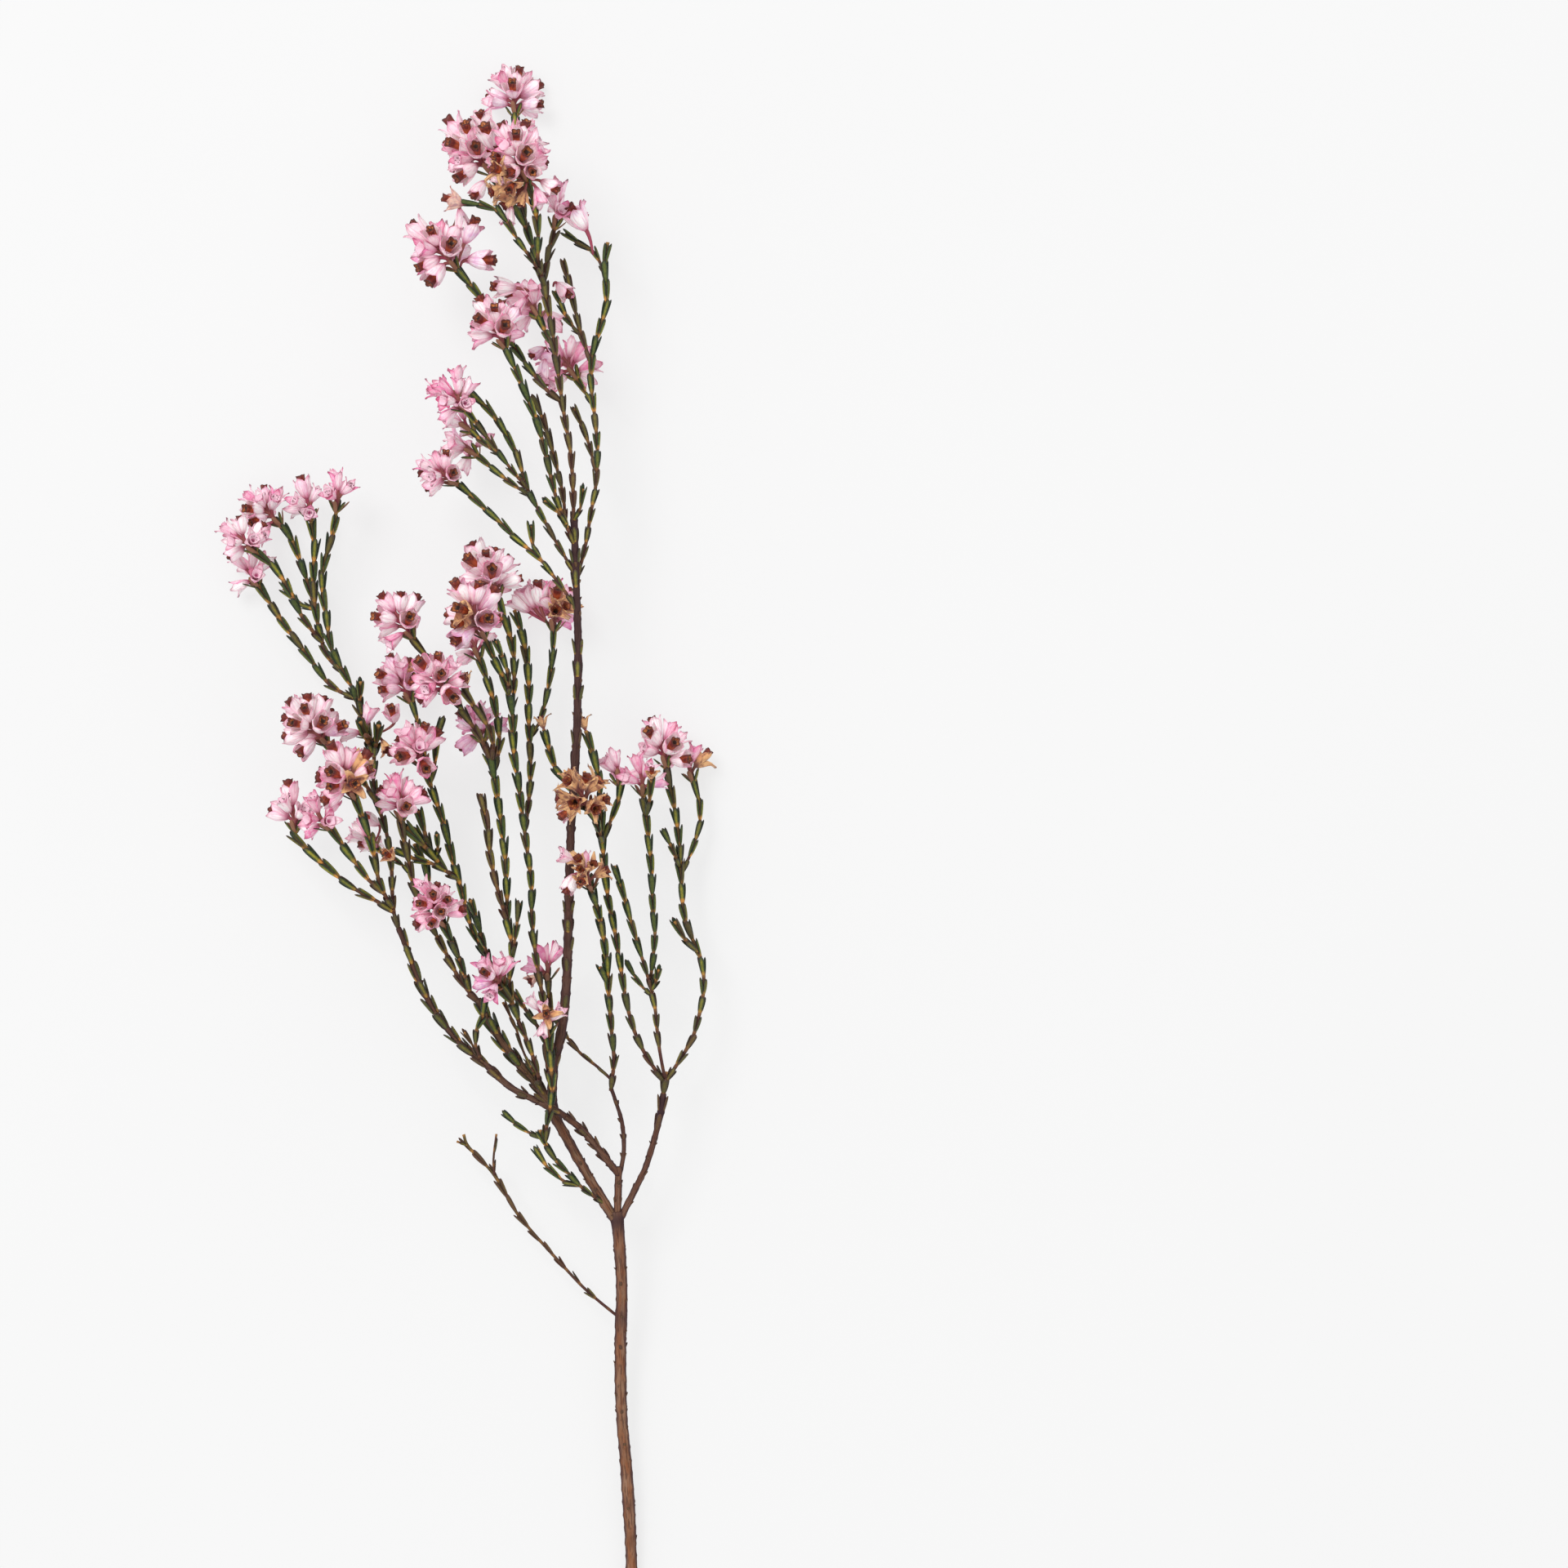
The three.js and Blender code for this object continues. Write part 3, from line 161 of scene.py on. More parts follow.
SPRAYS = {
    "low_left_spray": (
        Twig("low", "stem", ((-2.4, 60), (-11.2, 67.4), (-18, 74.6), (-23.8, 81), (-28.2, 86.4), (-34, 96),
            (-40.4, 103.2, 9), (-41.2, 105.6, 9)), scale=0.8, leaf_from=0.3),
        Twig("low_fork", "low", ((-40, 102.8), (-42.8, 103.9, 10)), scale=0.6, leaf_from=1),
        Twig("low_side", "low", ((-33.6, 95.2), (-33.8, 99), (-33, 105.8, 12)), scale=0.6, leaf_from=1),
    ),
    "low_green_spray": (
        Twig("green", "left_limb", ((-6, 88.6), (-11.2, 92.6, 18), (-15.2, 96.8), (-18, 99.8), (-21, 104.8),
            (-21.8, 107.4, 23)), scale=0.85),
        Twig("green_up", "green", ((-20.6, 104.2), (-20.2, 108.4), (-19.2, 113.4, 26), (-18.7, 118.2),
            (-19, 123.2), (-19.4, 131, 29))),
        Twig("green_left", "green", ((-21.2, 105.2), (-25.8, 107.4), (-30.6, 111.2, 20)), scale=0.75),
        Twig("green_low", "green", ((-12, 93.4), (-15.8, 94.4), (-18.8, 96.6), (-21.6, 99.6),
            (-22.6, 102.4, 15)), scale=0.78),
    ),
    "second_spray": (
        Twig("side_wood", "second_limb", ((-36.4, 138.2), (-39.8, 142), (-43.2, 147.4), (-45.4, 152),
            (-48, 156.6, 24), (-50.6, 161.4), (-52.8, 168), (-54, 174.4), (-55.2, 180, 26),
            (-55.4, 183, 26))),
        Twig("v_twig", "side_wood", ((-38.8, 141), (-40.8, 147.6), (-43, 153.4), (-44.8, 157.6, 32))),
        Twig("v_side", "side_wood", ((-48.6, 157.6), (-50, 163), (-49.2, 168), (-50.6, 173),
            (-53, 177.2, 16))),
        Twig("thin_tip", "side_wood", ((-53, 169.4), (-55, 172, 26), (-57, 173.6, 29)), scale=0.7),
    ),
    "r_spray": (
        Twig("r_twig", "left_limb", ((-19, 113.6), (-20.4, 123, 14.5), (-21.4, 130), (-24.4, 134.6),
            (-27.6, 139.2, 13.5), (-32.2, 145.4), (-35.4, 149.8), (-38, 154.4), (-40, 160, 16),
            (-41.4, 166.4), (-43.2, 172.4), (-45, 180), (-46.8, 186), (-49.4, 193.4, 20),
            (-50.4, 196.2, 22))),
        Twig("n_back_twig", "r_twig", ((-48.6, 191.6), (-50.6, 199.4, 13), (-51.6, 204.4), (-53, 209.4),
            (-54, 212, 11)), scale=0.8),
        Twig("r_side", "r_twig", ((-48.8, 192), (-47.6, 198.4), (-47.6, 202.6), (-46.2, 207.4, 18)),
            scale=0.9),
        Twig("s_side", "r_twig", ((-42, 168.6), (-44.8, 170.6, 20), (-48, 174.6), (-51, 178.4),
            (-52.6, 181, 20))),
        Twig("s_low", "s_side", ((-44.6, 170.4), (-49, 172.8, 21.5), (-53.4, 174), (-57, 175.8, 23)),
            scale=0.9),
        Twig("s_leafy", "s_side", ((-46.6, 172.6), (-50.4, 177.2, 24), (-54.4, 181.4, 25)), scale=1.15),
        Twig("s_mid", "s_side", ((-48.4, 175), (-50.2, 180.4, 21.5), (-51.6, 185.4, 21)), scale=1.05),
        Twig("s_spike", "s_side", ((-47.4, 173.8), (-46.8, 176.6, 23), (-46.9, 179.6, 25)), scale=0.75),
        Twig("r_beside", "r_twig", ((-34.4, 148.4), (-36, 153.6, 19), (-37.4, 158.8), (-38.8, 163.6, 23)),
            scale=0.9),
    ),
    "far_left_spray": (
        Twig("low_stub", "long_branch", ((-37.4, 125.2), (-38.2, 128, 24), (-40.2, 131.4, 25)), scale=0.6),
        Twig("kink_twig", "long_branch", ((-36.2, 124.2), (-37.4, 128.4, 27), (-37.2, 131.8),
            (-35.6, 135.4, 30), (-34.8, 139.4, 31)), scale=0.85, leaf_from=0.35),
        Twig("limb", "long_branch", ((-56.4, 156.2), (-57.6, 160, 20.6), (-58.2, 165.4, 19), (-58.4, 171),
            (-59, 176), (-60, 181), (-61.6, 186), (-63, 192, 15), (-63, 199), (-64.6, 205.8), (-66.6, 210),
            (-68, 214.6), (-69.6, 217.8, 12), (-72, 222), (-73.8, 226), (-74.8, 233), (-75.8, 240, 12),
            (-75.6, 245), (-74.2, 250), (-72.9, 254.5), (-72.2, 259, 15))),
        Twig("limb_tuft", "limb", ((-63, 199), (-64.6, 203.4, 19), (-65.8, 207.2, 21)), scale=1.2),
        Twig("limb_leaf", "limb", ((-63, 198.6), (-62, 202.8, 19), (-61.4, 206.4, 21)), scale=1.1),
        Twig("j2", "limb", ((-70.2, 219), (-74.8, 223.6, 9.5), (-76.8, 230), (-77.8, 236), (-78.2, 244, 9),
            (-77.9, 250.4), (-78.8, 257, 10))),
        Twig("j3", "j2", ((-77.4, 233.4), (-79.6, 241, 7), (-82, 248), (-84.4, 253.6), (-86.4, 255.8, 7))),
        Twig("j3_left", "j2", ((-75.8, 226.6), (-78.8, 230.4, 12), (-81.6, 234.6), (-84, 239.8),
            (-87.1, 244.7), (-91.8, 249, 14))),
        Twig("j_side", "j3", ((-78, 235), (-82, 236.8, 5), (-86, 240.4, 4.4)), scale=0.9),
        Twig("j4", "limb", ((-67.4, 212.8), (-73.8, 216.2, 10), (-78.4, 222), (-83, 228), (-86, 232),
            (-89, 236.6), (-91.8, 240.8, 7))),
        Twig("j_stub", "limb", ((-66, 208.8), (-66.4, 212.6), (-66, 217, 18)), scale=0.9),
        Twig("u_back", "limb", ((-58.6, 173), (-61.4, 175.4, 13), (-63, 176.8, 10)), scale=0.8),
        Twig("p_twig", "limb", ((-61.8, 187), (-66, 193.4, 18), (-70.7, 197.7), (-74, 201.6, 20))),
        Twig("r_left", "limb", ((-63.2, 200.4), (-62.8, 202.2, 17), (-64, 203.6, 18)), scale=0.8),
        Twig("q_twig", "limb", ((-57.9, 161.4), (-60.4, 166.4, 24), (-61.6, 170.4), (-62.4, 175.4),
            (-63.6, 180.2, 27), (-65.2, 184.6), (-66.6, 188.4, 30))),
        Twig("u_twig", "q_twig", ((-59.8, 165), (-63.8, 168.8, 25), (-66.2, 172), (-68.8, 175.4),
            (-70.8, 178.4), (-73, 181, 26))),
        Twig("t_twig", "limb", ((-57.6, 160.4), (-61.4, 163, 20.5), (-65.4, 165.2, 20.5), (-69.6, 167.8),
            (-72.8, 170.6), (-76, 173), (-79, 176), (-81.9, 179.1), (-82, 180.2, 18))),
    ),
    "centre_left_spray": (
        Twig("c_base", "second_limb", ((-22.4, 117.6), (-22.4, 121.4, 22.5), (-24.8, 129, 25), (-28, 137),
            (-29.2, 144), (-28.4, 151.4, 27), (-29.4, 157.6), (-29.9, 168), (-30.3, 175.2, 27),
            (-31.2, 182.4), (-32.4, 191), (-33.8, 199, 27))),
        Twig("c_dark", "c_base", ((-29.6, 158), (-31.8, 166, 30), (-33.6, 174), (-34.4, 182),
            (-36, 189.6, 30))),
        Twig("c_thin", "c_base", ((-28.5, 150), (-27.4, 156, 31), (-26.6, 163, 32)), scale=0.8),
        Twig("k_twig", "c_base", ((-33.4, 197.4), (-36, 203, 29), (-40.2, 209.4), (-42, 213.4, 28.5),
            (-45.8, 218.8, 26), (-48.8, 222.4), (-51.5, 225.7), (-52.6, 227.4, 27))),
        Twig("n_dark", "c_base", ((-33.4, 197.4), (-33, 203, 32), (-35.4, 208.2), (-38.8, 213, 34),
            (-39.2, 215.8, 34))),
        Twig("n_front_twig", "k_twig", ((-40.6, 210.2), (-42.4, 212.4, 34), (-43.6, 214, 36)), scale=0.9),
        Twig("o_twig", "c_base", ((-32.8, 193), (-34.6, 198, 22), (-36, 202.4, 18)), scale=0.8),
        Twig("lc_twig", "c_base", ((-33, 194.6), (-31.8, 202, 22), (-33.4, 212.4), (-35.6, 219),
            (-37, 222.6, 15))),
        Twig("c_tuft", "c_base", ((-27, 134.4), (-28.6, 139, 29), (-31.6, 142.6, 31)), scale=1.15),
        Twig("c_purple", "c_base", ((-23.4, 121.6), (-26, 126.4, 20), (-28, 132.6, 20), (-31, 138.6, 21)),
            scale=0.66, leaf_from=0.6),
        Twig("c_spike", "c_base", ((-22.4, 118.6), (-23.2, 121.8, 19), (-23.6, 125, 18)), scale=0.66),
        Twig("aa1_twig", "c_base", ((-28.6, 139.4), (-30, 142, 28), (-30.8, 143, 30)), scale=0.8),
    ),
    "centre_spray": (
        Twig("cc", "trunk", ((-18.4, 124), (-19.2, 130, 23), (-20.8, 138), (-22.2, 146, 24), (-23.2, 153),
            (-23.8, 160), (-23.9, 168, 25), (-24.8, 175.2), (-25.6, 181.2), (-26.4, 187.4), (-27.2, 193.4),
            (-28.2, 200.4, 26), (-28.3, 207), (-28.8, 212), (-30.2, 217), (-32.8, 222.4, 29),
            (-35, 227.6, 31))),
        Twig("cc_right", "cc", ((-28.5, 209.6), (-28.2, 217, 22), (-28.4, 224), (-29.8, 230, 19),
            (-31.4, 234.6), (-32.4, 237.4, 18))),
        Twig("cc_beside", "cc", ((-29.2, 213.4), (-29.6, 220, 33), (-32, 226.6, 36)), scale=0.8),
        Twig("ce", "cc", ((-25.5, 180.2), (-24.6, 189, 20), (-24.4, 198, 17), (-24.9, 208), (-25, 218, 14),
            (-26.4, 228, 12), (-28.6, 234.8, 11))),
        Twig("m_twig", "ce", ((-24.7, 203), (-22.2, 207.6, 13), (-20.6, 214, 11), (-19.4, 221.7),
            (-19, 229.6, 9.5)), scale=0.8),
    ),
    "upper_fan_spray": (
        Twig("fan_high", "trunk", ((-13, 243), (-17.4, 250.4, 27), (-20, 255), (-22, 258.6), (-25, 264.6, 25),
            (-27, 271), (-29.6, 276.6), (-33.6, 282.6), (-38, 286.6, 23), (-39.6, 287, 23)), scale=0.85),
        Twig("fan_middle", "fan_high", ((-24.6, 263.8), (-28.6, 268.6, 28), (-31.8, 272.8), (-35.8, 278.2),
            (-39.4, 282.8, 31)), scale=0.8),
        Twig("fan_side", "fan_middle", ((-31, 271.8), (-35, 274.8, 26), (-38.4, 278.2, 22)), scale=0.75),
        Twig("fan_lower", "fan_high", ((-23.8, 262), (-28.6, 265.4, 21), (-33, 268.8), (-37.4, 272.6, 16)),
            scale=0.8),
    ),
    "lower_fan_spray": (
        Twig("fan", "trunk", ((-12.8, 235), (-18.2, 242.4, 26), (-22.4, 247.6), (-26.6, 251),
            (-31.6, 256, 23), (-35.8, 259.8), (-40.3, 264, 22), (-42.2, 265.4, 22.5)), scale=0.85),
        Twig("fan_tip", "fan", ((-21.6, 246.8), (-23.6, 250.4, 22), (-24.2, 255, 19)), scale=0.9),
    ),
    "crown_left_spray": (
        Twig("pair_left", "trunk", ((-13.2, 250), (-16, 257, 31), (-18, 263), (-19.6, 270), (-21.6, 278, 33),
            (-25, 287), (-27.6, 293), (-29.8, 297.8, 33)), scale=0.95),
        Twig("pair_right", "pair_left", ((-15.4, 255.6), (-16, 262, 28), (-17.6, 269, 26), (-20.4, 279, 25),
            (-23.2, 286.4, 25)), scale=0.85),
        Twig("pair_stub", "pair_left", ((-15, 255), (-17.8, 258.8, 35), (-20.4, 260.6, 36)), scale=0.8),
    ),
    "crown_spray": (
        Twig("middle", "trunk", ((-13.4, 254), (-13.6, 264, 29), (-14.2, 273), (-15.6, 281, 29), (-17.2, 292),
            (-18.8, 303.4, 28), (-20.2, 311), (-20.6, 316.4, 26), (-19.8, 321), (-18.8, 325.4, 21),
            (-18.4, 328, 20)), scale=0.95),
        Twig("to_b", "middle", ((-20.1, 310.4), (-21.6, 316, 22), (-24, 324.4), (-26.8, 331), (-30, 336),
            (-34, 341.4, 20))),
        Twig("to_c", "middle", ((-20.4, 313), (-22, 319.4, 31), (-22, 327), (-23.2, 334),
            (-24.8, 338.6, 33))),
        Twig("to_a", "to_b", ((-25, 327), (-26.4, 334, 15), (-27.6, 345.6, 11), (-28.6, 357, 6))),
        Twig("to_bud", "to_c", ((-21.2, 316), (-24, 320, 34), (-27.4, 325, 36), (-31.4, 330.8), (-36, 332.6),
            (-40.4, 333.2, 34)), scale=0.8),
        Twig("to_e", "middle", ((-16.2, 285), (-19.8, 287.8, 29), (-23.6, 292.4), (-27.8, 298.4, 24),
            (-32, 304.4), (-36.8, 311.5, 24), (-42, 317.6, 24))),
        Twig("to_f", "middle", ((-17.8, 296.4), (-20.6, 302.6, 20), (-22.4, 306.4, 16)), scale=0.9),
        Twig("crown_stub", "middle", ((-13.5, 256), (-11.6, 259.4, 32), (-11, 263.6, 34)), scale=0.7),
    ),
    "crown_right_spray": (
        Twig("outer", "trunk", ((-12.6, 242), (-10.6, 250.6, 25), (-9.4, 258), (-8.2, 265), (-7.8, 273),
            (-8.4, 281, 22), (-9.4, 290), (-9, 297.4), (-7.4, 303), (-5.8, 309, 20), (-5.8, 315),
            (-6.2, 319.6), (-5.4, 324.8, 18)), scale=0.9),
        Twig("outer_tip", "outer", ((-6.2, 317), (-8.8, 322.6, 14), (-12, 324.8, 12), (-16, 327.6, 10)),
            scale=0.8),
        Twig("inner", "outer", ((-9.2, 294.4), (-11.4, 300.8, 19), (-13.4, 308), (-15, 315, 16),
            (-16.6, 320.6, 14)), scale=0.85),
        Twig("inner_low", "inner", ((-11.8, 301.8), (-15, 305.6, 15), (-17, 309.6, 12), (-18.6, 313.4, 10)),
            scale=0.8),
        Twig("to_h", "outer", ((-8.8, 284.4), (-11.2, 288.4, 17), (-13, 291.4, 15)), scale=0.8),
        Twig("low_tip", "outer", ((-8, 268), (-10.8, 277.6, 19), (-13.6, 284, 18)), scale=0.8),
    ),
    "right_spray": (
        Twig("fork", "right_limb", ((8.1, 115.4), (8.6, 119), (8.8, 121.4, 16.4)), scale=1.2, leaf_from=1),
        Twig("tall", "fork", ((8.5, 118.6), (5, 123.8, 18), (2.6, 128), (0.6, 133), (-1, 139.6),
            (-2.6, 149.6, 20), (-3.8, 157), (-5.2, 164, 22), (-6.2, 173), (-6.8, 183, 24), (-7.2, 192),
            (-9, 200), (-10.6, 205, 26))),
        Twig("w_twig", "tall", ((-6.5, 177.4), (-7.8, 182.4, 31), (-9.6, 186, 35)), scale=0.9),
        Twig("leaf_twig", "tall", ((-6.5, 178.6), (-10, 186, 18), (-15, 191.6, 14), (-18.2, 195.6),
            (-19.8, 200), (-21.2, 205.4, 15))),
        Twig("z_twig", "tall", ((-6.5, 177.8), (-4.2, 184, 23), (-2.4, 188.8, 22), (-2.6, 191.8, 20)),
            scale=0.9),
        Twig("mid", "fork", ((8.6, 119.6), (7.9, 123.4, 19), (7, 129), (6.2, 137.4, 20), (5.2, 143),
            (5.8, 150, 20), (6.2, 156), (5.6, 163), (5.4, 170, 20), (4.8, 177), (4.2, 183), (3.4, 187.6, 20),
            (3.3, 189.2, 20)), scale=0.9, leaf_from=0.12),
        Twig("mid_left", "mid", ((5.6, 141), (3.8, 147.2, 23), (1, 156.4, 25), (-1.6, 165.8, 26),
            (-3.6, 172, 28)), scale=0.85),
        Twig("mid_tip", "mid", ((4, 184), (5, 188.4, 24), (5.4, 193, 27)), scale=0.9),
        Twig("mid_stub", "mid", ((5.8, 139.8), (2.4, 143, 17), (-0.8, 148, 15)), scale=0.7),
        Twig("mid_short", "mid", ((5.4, 141.4), (6.6, 144, 22.5), (7.2, 146.6, 24)), scale=0.8),
        Twig("outer_right", "fork", ((8.6, 118.8), (12.6, 124.8, 14.6), (15.2, 129.4), (16.8, 134.6),
            (18, 141.4, 12), (17.6, 148), (15, 154.4), (13.2, 159.4, 11), (12.6, 167, 10), (12.2, 172),
            (12, 178, 11), (11.2, 184), (10, 190, 11), (8.8, 196, 10)), scale=0.95),
        Twig("y3_twig", "outer_right", ((12.4, 169.6), (15.2, 176, 7.4), (17, 182.4, 6.4), (16.8, 188),
            (15.4, 192.6, 6)), scale=0.8),
        Twig("right_tip", "outer_right", ((12.2, 171.4), (10.6, 175.4, 14), (8.2, 180.6, 15.5)), scale=0.8),
        Twig("right_stub", "outer_right", ((16.8, 150.4), (13.2, 154.2, 15), (11, 158.2, 17)), scale=0.9),
    ),
    "x_spray": (
        Twig("up", "thin_centre", ((-4.8, 116.6), (-4, 124, 15), (-4.6, 132.4), (-5.2, 141, 19), (-5.6, 149),
            (-7, 158.6, 26), (-9, 166.4, 32))),
        Twig("up_tuft", "up", ((-5.3, 142.6), (-6.2, 145.2, 21), (-7.2, 147.2, 22)), scale=0.9),
        Twig("across", "up", ((-4.5, 119.2), (-8, 122.4, 13.5), (-12, 125.6, 14.5), (-16.6, 131.4, 16),
            (-18.6, 134.6, 16), (-19.8, 139, 17), (-20, 144, 19)), scale=0.8, leaf_from=0.34),
    ),
}

HEADS = (
    Head("a", "to_a", 8, 105, size=1.12, reach=4.4, boxes=0.6, fill=0.3),
    Head("b", "to_b", 8, 112, size=1.25, reach=6, boxes=0.8, fill=1.1),
    Head("c", "to_c", 8, 112, size=1.2, reach=5.5, boxes=0.75, fill=1.1),
    Head("d", "middle", 5, 90, size=1.1, reach=4, boxes=0.5, flush=0.1),
    Head("e", "to_e", 8, 128, size=1.3, reach=5, boxes=0.7, fill=0.4),
    Head("f", "to_f", 7, 110, size=1.15, reach=4, boxes=0.35, fill=0.5, flush=0.15),
    Head("g", "pair_left", 7, 108, size=1.15, reach=4, boxes=0.6),
    Head("h", "to_h", 7, 112, size=1.15, reach=4, boxes=0.1, fill=0.6, flush=0.15),
    Head("i1", "fan_high", 4, 85, flush=0.2),
    Head("i2", "fan_middle", 5, 95, flush=0.15),
    Head("i3", "fan_side", 4, 95, size=0.9),
    Head("i4", "fan_lower", 5, 100),
    Head("i5", "fan", 6, 100, reach=3, boxes=0.35),
    Head("j1", "limb", 4, 95, flush=0.2),
    Head("j2", "j2", 5, 95, boxes=0.1),
    Head("j3", "j3", 7, 108, size=1.05, reach=4, boxes=0.4),
    Head("j3_left", "j3_left", 6, 105, reach=3, boxes=0.3),
    Head("j4", "j4", 5, 95, boxes=0.1),
    Head("k", "k_twig", 7, 100, size=1.1, reach=4.5, boxes=0.8, fill=0.5),
    Head("l_high", "cc_right", 8, 108, size=1.2, reach=5, boxes=0.85),
    Head("l_low", "cc", 8, 112, size=1.25, reach=6, boxes=0.85, dry=0.15),
    Head("l_side", "lc_twig", 5, 95, reach=2.5, boxes=0.1),
    Head("m", "m_twig", 7, 100, size=1.1, reach=4, boxes=0.2, dry=0.12, flush=0.2),
    Head("n", "n_front_twig", 7, 105, size=1.15, reach=4.5, boxes=0.8, flush=0.2),
    Head("n_back", "n_back_twig", 7, 112, size=1.1, reach=4, boxes=0.6, dry=0.2, flush=0.2),
    Head("o", "o_twig", 6, 105, size=1.1, reach=3, boxes=0.7),
    Head("p", "p_twig", 8, 110, size=1.2, reach=5, boxes=0.85),
    Head("q", "q_twig", 8, 112, size=1.2, reach=5, boxes=0.8, dry=0.12, flush=0.15),
    Head("r", "r_twig", 6, 100, size=1.1, reach=3.5, boxes=0.5, flush=0.2),
    Head("r_left", "r_left", 4, 80, boxes=0.5),
    Head("s", "side_wood", 6, 100, size=1.1, reach=3.5, boxes=0.2, flush=0.15),
    Head("t", "t_twig", 6, 80, size=1.1, reach=3, boxes=0.65, fill=0.0),
    Head("u", "u_twig", 5, 100, fill=0.0, flush=0.2),
    Head("u_back", "u_back", 4, 95, boxes=0.5, fill=0.0),
    Head("v", "v_twig", 9, 112, size=0.95, reach=5.5, boxes=0.7, flush=0.2),
    Head("w", "w_twig", 7, 105, size=1.15, reach=4, boxes=0.3, dry=0.95),
    Head("x", "up", 5, 100, size=0.9, reach=4, boxes=0.3, dry=0.85),
    Head("z", "z_twig", 4, 90, flush=0.25),
    Head("y1", "outer_right", 7, 105, size=1.15, reach=4, boxes=0.7),
    Head("y2", "mid", 4, 95, flush=0.2),
    Head("y3", "y3_twig", 5, 80, boxes=0.2, dry=0.7),
    Head("aa1", "aa1_twig", 5, 100, boxes=0.1, flush=0.2),
    Head("aa2", "across", 4, 85, boxes=0.1, flush=0.3),
    Head("aa3", "green_up", 2, 80, size=0.85, fill=0.0),
)

